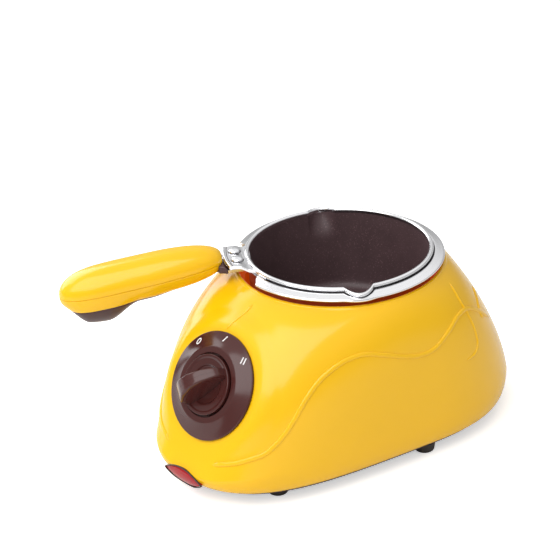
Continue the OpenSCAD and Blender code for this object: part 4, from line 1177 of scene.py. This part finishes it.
def non_stick(name, shade):
    """Sprayed non-stick coating: dark, nearly matte, with pale mineral specks of about 0.5 mm
    and the pebbled skin of the spray."""
    finish, tree, shader, place = new_finish(name, {"IOR": 1.4, "Roughness": 0.42}, (
        (1.1, 2.0, {"Normal": relief(0.4, 0.05)}),))
    specks = add(tree, "ShaderNodeTexNoise", grain(0.55, 1.0), {"Vector": place})
    spots = add(tree, "ShaderNodeMapRange", {1: 0.66, 2: 0.72, **between(0.0, 0.5)},
                {0: specks.outputs[0]})
    cloud = add(tree, "ShaderNodeTexNoise", grain(12.0, 3.0), {"Vector": place})
    ground = add(tree, "ShaderNodeMix", shades(shade, 0.8, 1.25), {0: cloud.outputs[0]})
    speckled = add(tree, "ShaderNodeMix", {"data_type": "RGBA", 7: toned(shade, 5.0)},
                   {0: spots.outputs[0], 6: ground.outputs[2]})
    tree.links.new(speckled.outputs[2], shader.inputs["Base Color"])
    return finish


def spun_metal(name, shade, rough, line_mm, depth_mm):
    """Metal that was spun or turned about the pot's axis: fine circular lines stretch its
    highlights. The tool's lines are nearer 0.1 mm apart and are drawn wider so that they show."""
    finish, tree, shader, place = new_finish(name, {"Metallic": 1.0})
    local = add(tree, "ShaderNodeMapping", {"Location": (-POT_AXIS[0], -POT_AXIS[1], 0.0)},
                {"Vector": place})
    split = add(tree, "ShaderNodeSeparateXYZ", {}, {0: local.outputs[0]})
    flat = add(tree, "ShaderNodeCombineXYZ", {}, {0: split.outputs[0], 1: split.outputs[1]})
    radius = add(tree, "ShaderNodeVectorMath", {"operation": "LENGTH"}, {0: flat.outputs[0]})
    ring = add(tree, "ShaderNodeCombineXYZ", {}, {0: radius.outputs["Value"], 2: split.outputs[2]})
    lines = add(tree, "ShaderNodeTexNoise", grain(line_mm, 3.0), {"Vector": ring.outputs[0]})
    drive(tree, shader, lines.outputs[0], {"Base Color": shades(shade, 0.9, 1.04),
                                           "Normal": relief(0.3, depth_mm)})
    haze = add(tree, "ShaderNodeTexNoise", grain(14.0, 3.0), {"Vector": place})
    both = add(tree, "ShaderNodeMath", {"operation": "MULTIPLY"},
               {0: lines.outputs[0], 1: haze.outputs[0]})
    worn = {1: 0.1, 2: 0.45, **between(rough * 0.7, rough * 1.4)}
    drive(tree, shader, both.outputs[0], {"Roughness": worn})
    return finish


FINISHES = {}


def make_finishes(context):
    """Makes every finish once, from the colours in the panel."""
    c = context.scene.melting_pot.finishes
    FINISHES.update(
        yellow=moulded_abs("Yellow_ABS_polished", c.yellow, 0.17),
        mouth=abs_with_painted_shade_and_glow("Yellow_ABS_painted_shade_and_glow_in_the_mouth", c.yellow_shade),
        brown=moulded_abs("Brown_ABS_polished", c.brown, 0.14, flow=0.08),
        satin=textured_abs("Brown_ABS_satin", c.brown_satin, 0.38),
        base=textured_abs("Dark_brown_ABS_satin", c.base_brown, 0.45),
        rim=spun_metal("Aluminium_spun_and_polished", srgb("f2f2f4"), 0.16, 0.7, 0.012),
        bowl=spun_metal("Aluminium_spun_and_brushed", srgb("b4b4b8"), 0.34, 0.9, 0.03),
        lining=non_stick("Non_stick_coating", c.lining),
        red=red_acrylic("Red_acrylic", c.red),
        rubber=black_rubber("Nitrile_rubber"),
        steel=plain_metal("Zinc_plated_steel", srgb("d2d3d6"), 0.22, 2.5),
        rivet=plain_metal("Aluminium_rivet", srgb("ededf0"), 0.14, 2.0),
        brass=plain_metal("Brass_bare", srgb("d8b25a"), 0.3, 2.0),
        cast=spun_metal("Aluminium_cast_and_turned", srgb("b4b4b6"), 0.42, 0.9, 0.03),
        white=textured_abs("White_nylon", srgb("e6e3da"), 0.4),
        glass=lamp_glass("Lamp_glass"),
        ink=pad_print("White_pad_print"),
        # Dark grey painted shade for the crease by the bead, the rings round the rivets and the tab's
        # fold line
        crevice=plain_metal("Aluminium_painted_shade_in_creases", srgb("4a4648"), 0.5, 1.0),
    )


# Operators

class MakeFinishes(bpy.types.Operator):
    """Make the finishes of all pieces"""
    bl_idname = "melting_pot.finishes"
    bl_label = "Finishes"

    def execute(self, context):
        make_finishes(context)
        return {"FINISHED"}


class MakeHousing(bpy.types.Operator):
    """Make the egg-shaped housing with its mouth, ledge, well and moulded lines"""
    bl_idname = "melting_pot.housing"
    bl_label = "Housing"

    def execute(self, context):
        s = sizes(context, "stand")
        d = sizes(context, "dial")
        make_piece("housing_shell", [housing_shell(s, d)] + screw_posts(s),
                   ("yellow", "mouth"), "stand", ("housing",), 50.0)
        half_w, half_h = s.line_w / 2, s.line_h
        lines = []
        for knots in (WAVE, mirrored(WAVE)):
            lines.append(line_on_skin(knots, s, d, half_w, half_h, count=420))
        lines.append(line_on_skin(NECK_LINE, s, d, half_w * 0.6, half_h * 0.7))
        for knots in (REAR_FOLD, mirrored(REAR_FOLD), REAR_CREASE, mirrored(REAR_CREASE)):
            lines.append(line_on_skin(knots, s, d, half_w * 0.6, half_h * 0.8, count=200))
        make_piece("housing_lines", lines, ("yellow",), "stand", sharp=60.0)
        return {"FINISHED"}


class MakeLens(bpy.types.Operator):
    """Make the almond-shaped indicator lens and its dark gasket"""
    bl_idname = "melting_pot.lens"
    bl_label = "Indicator lens"

    def execute(self, context):
        s = sizes(context, "stand")
        a = (np.arange(120) * 3.0)[None, :]
        x, up = almond(a, s, -0.3)
        share_in = np.array([0.02, 0.15, 0.3, 0.45, 0.6, 0.74, 0.86, 0.94, 0.98, 1.0])[:, None]
        px, pz = x * share_in, s.lens_z + up * share_in
        front = joined(px, lens_front(px, pz, s) + 0.4 * share_in ** 8, pz)
        back = front[::-3].copy()
        back[..., 1] = -s.front_reach + LENS_BACK
        make_piece("lens_red", [sheet(np.concatenate([front, back]))], ("red",), "stand",
                   ("indicator_lens",))
        ring_x, ring_up = almond(a[0], s, 0.1)
        ring_z = s.lens_z + ring_up
        path = joined(ring_x, lens_front(ring_x, ring_z, s) + 0.15, ring_z)
        gasket = bead(path, (0.0, -1.0, 0.0), LENS_RIM / 2, 0.5, looped=True)
        make_piece("lens_gasket", [gasket], ("rubber",), "stand", sharp=70.0)
        return {"FINISHED"}


class MakeBase(bpy.types.Operator):
    """Make the base plate's rim, the six feet and the cord inlet"""
    bl_idname = "melting_pot.base"
    bl_label = "Base, feet and cord inlet"

    def execute(self, context):
        s = sizes(context, "stand")
        make_piece("base_rim", [base_rim(s)], ("base",), "stand")
        profile = foot_profile(s)
        stem = rounded([(0.4, s.base_z - 0.1), (2.5, s.base_z - 0.1), (2.5, s.skirt_z + 0.15),
                        (3.1, s.skirt_z + 0.2), (2.4, s.skirt_z + 1.3), (0.4, s.skirt_z + 1.3)],
                       [0.0, 0.1, 0.1, 0.2, 0.3, 0.0])
        for row, node in enumerate(("feet_front", "feet_side", "feet_rear")):
            reach = s.front_reach if FOOT_REACH[row] < 0 else s.back_reach
            parts = []
            for side in (-1, 1):
                spot = (side * s.half_w * FOOT_SIDE[row], reach * FOOT_REACH[row], 0.0)
                for section in (profile, stem):
                    parts.append(placed(turned(section, spokes=64), spot))
            make_piece("foot_pair_" + node[5:], parts, ("rubber",), "stand", (node,))
        grip = -s.wall - BUSH_NECK_OVER
        end = grip - BUSH_BARB_H
        half = BUSH_FLANGE_H / 2
        section = rounded([(s.inlet_r, BUSH_FLANGE_H), (s.inlet_flange_r - half, BUSH_FLANGE_H),
                           (s.inlet_flange_r, half), (s.inlet_flange_r, 0.0), (BUSH_NECK_R, 0.0),
                           (BUSH_NECK_R, grip), (BUSH_BARB_R, grip), (BUSH_NECK_R, end),
                           (s.inlet_r, end)], 0.5, closed=True)
        bush = placed(turned(section, spokes=96, closed=True), (0.0, s.back_reach + 0.15, s.inlet_z),
                      (-1, 0, 0), (0, 0, 1), (0, 1, 0))
        make_piece("cord_grommet", [bush], ("rubber",), "stand",
                   ("cord_inlet_bush",))
        return {"FINISHED"}


class MakeDial(bpy.types.Operator):
    """Make the dial plate with its three marks"""
    bl_idname = "melting_pot.dial"
    bl_label = "Dial plate"

    def execute(self, context):
        d = sizes(context, "dial")
        axes = dial_frame(d)
        peg = rounded([(0.2, -3.8), (1.5, -3.8), (1.5, 0.2), (0.2, 0.2)], 0.2)
        pegs = [placed(turned(peg, spokes=32), (x, 0, 0)) for x in (-PEG_REACH, PEG_REACH)]
        parts = [placed(part, *axes) for part in [dial_plate(d)] + pegs]
        make_piece("dial_ring", parts, ("brown",), "stand", ("dial_plate",))
        marks = [placed(part, *axes) for part in dial_marks(d)]
        make_piece("dial_marks", marks, ("ink",), "stand", sharp=70.0)
        return {"FINISHED"}


class MakeKnob(bpy.types.Operator):
    """Make the control knob with its dish and grip blade"""
    bl_idname = "melting_pot.knob"
    bl_label = "Control knob"

    def execute(self, context):
        d = sizes(context, "dial")
        origin, u, v, w = dial_frame(d)
        seat = origin + w * d.knob_z
        disc = placed(knob_disc(d), seat, u, v, w)
        along = cosd(d.blade_a) * u + sind(d.blade_a) * v
        across = -sind(d.blade_a) * u + cosd(d.blade_a) * v
        blade = placed(knob_blade(d), seat, along, across, w)
        make_piece("knob_moulding", [disc, blade], ("brown",), "knob",
                   ("control_knob",))
        return {"FINISHED"}


class MakePot(bpy.types.Operator):
    """Make the pot with its bead, band, spouts, lining, tab and rivets"""
    bl_idname = "melting_pot.pot"
    bl_label = "Pot"

    def execute(self, context):
        p = sizes(context, "pot")
        h = sizes(context, "handle")
        axes = handle_axes(h)
        tab = [placed(part, (0, 0, 0), *axes) for part in
               (tab_plate(p), tab_spacer(p), tab_line(p, 0.9, 0.6, 0.7, 0.45))]
        make_piece("pot_spinning", [pot_bowl(p, h)] + tab, ("rim", "lining", "crevice", "bowl"),
                   "pot", ("pot_bowl",), 50.0)
        rivet = turned(rivet_profile(p), spokes=64)
        # A thin ring of painted shade round each rivet's head
        ring_a = np.arange(48) * 7.5
        ring_r = p.rivet_r + 0.2
        ring = joined(ring_r * cosd(ring_a), ring_r * sind(ring_a), tab_height(p.rivet_reach, p))
        crevice = bead(ring, (0.0, 0.0, 1.0), 0.28, 0.12, 8, looped=True, tint=1)
        spots = [np.array(axes[0]) * p.rivet_reach + np.array(axes[1]) * side * p.rivet_gap / 2
                 for side in (-1, 1)]
        parts = [placed(part, spot) for part in (rivet, crevice) for spot in spots]
        # A thin line of painted shade along the tab's fold
        parts.append(placed(tab_line(p, 2.2, 0.9, 0.2, 0.08, 8, tint=1), (0, 0, 0), *axes))
        make_piece("rivet_pair", parts, ("rivet", "crevice"), "pot", ("rivets",))
        return {"FINISHED"}


class MakeHandle(bpy.types.Operator):
    """Make the handle's core, two shells and grip insert"""
    bl_idname = "melting_pot.handle"
    bl_label = "Handle"

    def execute(self, context):
        h = sizes(context, "handle")
        axes = handle_axes(h)
        for name, part, finish, slot, node in (
                ("handle_collar", handle_core(h), "satin", "brown_plastic", "handle_core"),
                ("handle_top", upper_shell(h), "yellow", "yellow_plastic", "handle_upper_shell"),
                ("handle_under", lower_shell(h), "yellow", "yellow_plastic", "handle_lower_shell"),
                ("handle_grip", grip_insert(h), "satin", "brown_plastic", "handle_grip_insert")):
            made = placed(part, (0, 0, 0), *axes)
            make_piece(name, [made], (finish,), "pot", (node,), 50.0)
        return {"FINISHED"}


NODE_FINISHES = {
    "steel": ("base_screws", "switch_shaft", "switch_nut", "handle_tang", "handle_screws",
              "heating_element", "heat_shield", "heater_screws", "fuse_clip", "block_screws"),
    "white": ("rotary_switch", "lamp_holder", "thermostat", "thermal_fuse", "terminal_block"),
    "brass": ("switch_terminals", "terminal_screws"),
    "base": ("base_plate",),
    "cast": ("heating_plate",),
    "glass": ("pilot_lamp",),
}


class FinishInnerParts(bpy.types.Operator):
    """Give the inner parts that keep their CAD shape their finishes"""
    bl_idname = "melting_pot.inner_parts"
    bl_label = "Inner parts"

    def execute(self, context):
        for finish, nodes in NODE_FINISHES.items():
            for node in nodes:
                held = frame["nodes"][node]
                if not held.material_slots:
                    held.data.materials.append(FINISHES[finish])
                for slot in held.material_slots:
                    slot.material = FINISHES[finish]
        return {"FINISHED"}


# Studio, in millimetres from the pot's axis like everything else

# The photograph's camera, fitted to the rim, the dial and the outline
CAMERA_SPOT = (584.339, -564.290, 487.460)
CAMERA_LOOK = (-0.66763, 0.59644, -0.44557)
CAMERA_UP = (-0.29825, 0.33410, 0.89411)
FOCAL_PIXELS = 1722.2
IMAGE_W = 560
SENSOR_W = 36.0
WHITE = (1.0, 1.0, 1.0, 1.0)
# Half width of the table in metres, and the light that it gives off to camera rays
FLOOR_HALF = 4.0
FLOOR_LIFT = 0.5
WORLD_LIGHT = 0.52
# The mirrored sky at two heights of a ray: upward share of its direction, brightness
SKY_LOW = (0.05, 0.42)
SKY_HIGH = (0.75, 1.0)
# Soft boxes: plan angle and height angle as seen from the pot, distance and size in mm, watts
SOFT_BOXES = (("key", -80.0, 53.0, 950.0, (1100.0, 970.0), 8.8),
              ("left", 184.0, 24.0, 1000.0, (760.0, 760.0), 5.0))


def studio_floor():
    """Matte white table that keeps the object's shadow. A lift for camera rays alone brings it to
    the photograph's white without more light on the object, and from below it is clear."""
    floor = bpy.data.materials.new("White_tabletop")
    floor.use_nodes = True
    tree = floor.node_tree
    tree.nodes.clear()
    matte = add(tree, "ShaderNodeBsdfDiffuse", {"Color": (0.93, 0.93, 0.93, 1.0)}, {})
    ray = add(tree, "ShaderNodeLightPath", {}, {})
    lift = add(tree, "ShaderNodeMath", {"operation": "MULTIPLY", 1: FLOOR_LIFT},
               {0: ray.outputs["Is Camera Ray"]})
    glow = add(tree, "ShaderNodeEmission", {"Color": WHITE}, {1: lift.outputs[0]})
    both = add(tree, "ShaderNodeAddShader", {}, {0: matte.outputs[0], 1: glow.outputs[0]})
    back = add(tree, "ShaderNodeNewGeometry", {}, {})
    clear = add(tree, "ShaderNodeBsdfTransparent", {}, {})
    shown = add(tree, "ShaderNodeMixShader", {}, {0: back.outputs["Backfacing"], 1: both.outputs[0],
                                                  2: clear.outputs[0]})
    add(tree, "ShaderNodeOutputMaterial", {}, {"Surface": shown.outputs[0]})
    half = FLOOR_HALF
    mesh = bpy.data.meshes.new("tabletop")
    corners = [(-half, -half, 0), (half, -half, 0), (half, half, 0), (-half, half, 0)]
    mesh.from_pydata(corners, [], [(0, 1, 2, 3)])
    mesh.materials.append(floor)
    table = bpy.data.objects.new("tabletop", mesh)
    bpy.context.scene.collection.objects.link(table)


def studio_world():
    """White to the camera, a softer grey as light, and in reflections a sky that fades from
    white overhead to grey at the horizon, so that bright metal keeps its edges."""
    world = bpy.data.worlds.new("Studio")
    world.use_nodes = True
    tree = world.node_tree
    tree.nodes.clear()
    ray = add(tree, "ShaderNodeLightPath", {}, {})
    gloss = add(tree, "ShaderNodeMath", {"operation": "MAXIMUM"},
                {0: ray.outputs["Is Glossy Ray"], 1: ray.outputs["Is Transmission Ray"]})
    way = add(tree, "ShaderNodeTexCoord", {}, {})
    height = add(tree, "ShaderNodeSeparateXYZ", {}, {0: way.outputs["Generated"]})
    rise = {1: SKY_LOW[0], 2: SKY_HIGH[0], **between(SKY_LOW[1], SKY_HIGH[1])}
    sky = add(tree, "ShaderNodeMapRange", {"interpolation_type": "SMOOTHSTEP", **rise},
              {0: height.outputs[2]})
    light = add(tree, "ShaderNodeBackground", {"Color": WHITE, "Strength": WORLD_LIGHT}, {})
    mirrored_sky = add(tree, "ShaderNodeBackground", {"Color": WHITE}, {1: sky.outputs[0]})
    white = add(tree, "ShaderNodeBackground", {"Color": WHITE, "Strength": 1.0}, {})
    lit = add(tree, "ShaderNodeMixShader", {},
              {0: gloss.outputs[0], 1: light.outputs[0], 2: mirrored_sky.outputs[0]})
    both = add(tree, "ShaderNodeMixShader", {},
               {0: ray.outputs["Is Camera Ray"], 1: lit.outputs[0], 2: white.outputs[0]})
    add(tree, "ShaderNodeOutputWorld", {}, {"Surface": both.outputs[0]})
    bpy.context.scene.world = world


def soft_box(name, plan_a, height_a, distance, size, watts):
    """A rectangular area lamp that faces the pot."""
    lamp = bpy.data.lights.new(name, "AREA")
    lamp.shape = "RECTANGLE"
    lamp.size = size[0] * MM
    lamp.size_y = size[1] * MM
    lamp.energy = watts
    out = Vector((cosd(plan_a) * cosd(height_a), sind(plan_a) * cosd(height_a), sind(height_a)))
    target = Vector(POT_AXIS) + Vector((0, -0.02, 0.06))
    made = bpy.data.objects.new(name, lamp)
    made.location = target + out * distance * MM
    made.rotation_euler = out.to_track_quat("Z", "Y").to_euler()
    bpy.context.scene.collection.objects.link(made)


def studio_camera():
    """The photograph's camera: its place, its look direction, and its lens from pixels."""
    camera = bpy.data.cameras.new("photo_view")
    camera.sensor_fit = "HORIZONTAL"
    camera.sensor_width = SENSOR_W
    camera.lens = FOCAL_PIXELS * SENSOR_W / IMAGE_W
    camera.clip_start = 0.05
    camera.clip_end = 50.0
    look = Vector(CAMERA_LOOK).normalized()
    up = Vector(CAMERA_UP).normalized()
    right = look.cross(up).normalized()
    up = right.cross(look)
    made = bpy.data.objects.new("photo_view", camera)
    rotation = Matrix((right, up, -look)).transposed()
    spot = Vector(POT_AXIS) + Vector(CAMERA_SPOT) * MM
    made.matrix_world = Matrix.Translation(spot) @ rotation.to_4x4()
    bpy.context.scene.collection.objects.link(made)
    bpy.context.scene.camera = made


class MakeStudio(bpy.types.Operator):
    """Make the table, the white surroundings, the soft boxes and the camera"""
    bl_idname = "melting_pot.studio"
    bl_label = "Studio"

    def execute(self, context):
        studio_floor()
        studio_world()
        for box in SOFT_BOXES:
            soft_box(*box)
        studio_camera()
        context.scene.view_settings.view_transform = "Standard"
        return {"FINISHED"}


STEPS = (MakeFinishes, MakeHousing, MakeLens, MakeBase, MakeDial, MakeKnob, MakePot, MakeHandle,
         FinishInnerParts, MakeStudio)


class MeltingPotPanel(bpy.types.Panel):
    """Sizes, colours and steps of the melting pot"""
    bl_idname = "VIEW3D_PT_melting_pot"
    bl_label = "Melting pot"
    bl_space_type = "VIEW_3D"
    bl_region_type = "UI"
    bl_category = "Melting pot"

    def draw(self, context):
        for name in ("stand", "dial", "pot", "handle", "finishes"):
            box = self.layout.box()
            box.label(text=name.capitalize())
            group = getattr(context.scene.melting_pot, name)
            for prop in group.bl_rna.properties:
                if prop.identifier not in {"rna_type", "name"}:
                    box.prop(group, prop.identifier)
        for step in STEPS:
            self.layout.operator(step.bl_idname)


GROUPS = (StandSizes, DialSizes, PotSizes, HandleSizes, PotFinishes, MeltingPot)
CLASSES = GROUPS + STEPS + (MeltingPotPanel,)


def register():
    """Registers the classes and hangs the sizes on the scene."""
    for made in CLASSES:
        bpy.utils.register_class(made)
    bpy.types.Scene.melting_pot = bpy.props.PointerProperty(type=MeltingPot)


def unregister():
    """Takes the sizes and the classes away again."""
    del bpy.types.Scene.melting_pot
    for made in reversed(CLASSES):
        bpy.utils.unregister_class(made)


def main():
    """Registers the add-on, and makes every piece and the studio."""
    register()
    for step in STEPS:
        group, name = step.bl_idname.split(".")
        result = getattr(getattr(bpy.ops, group), name)()
        if result != {"FINISHED"}:
            raise RuntimeError(f"{step.bl_idname} did not finish")


if __name__ == "__main__":
    main()
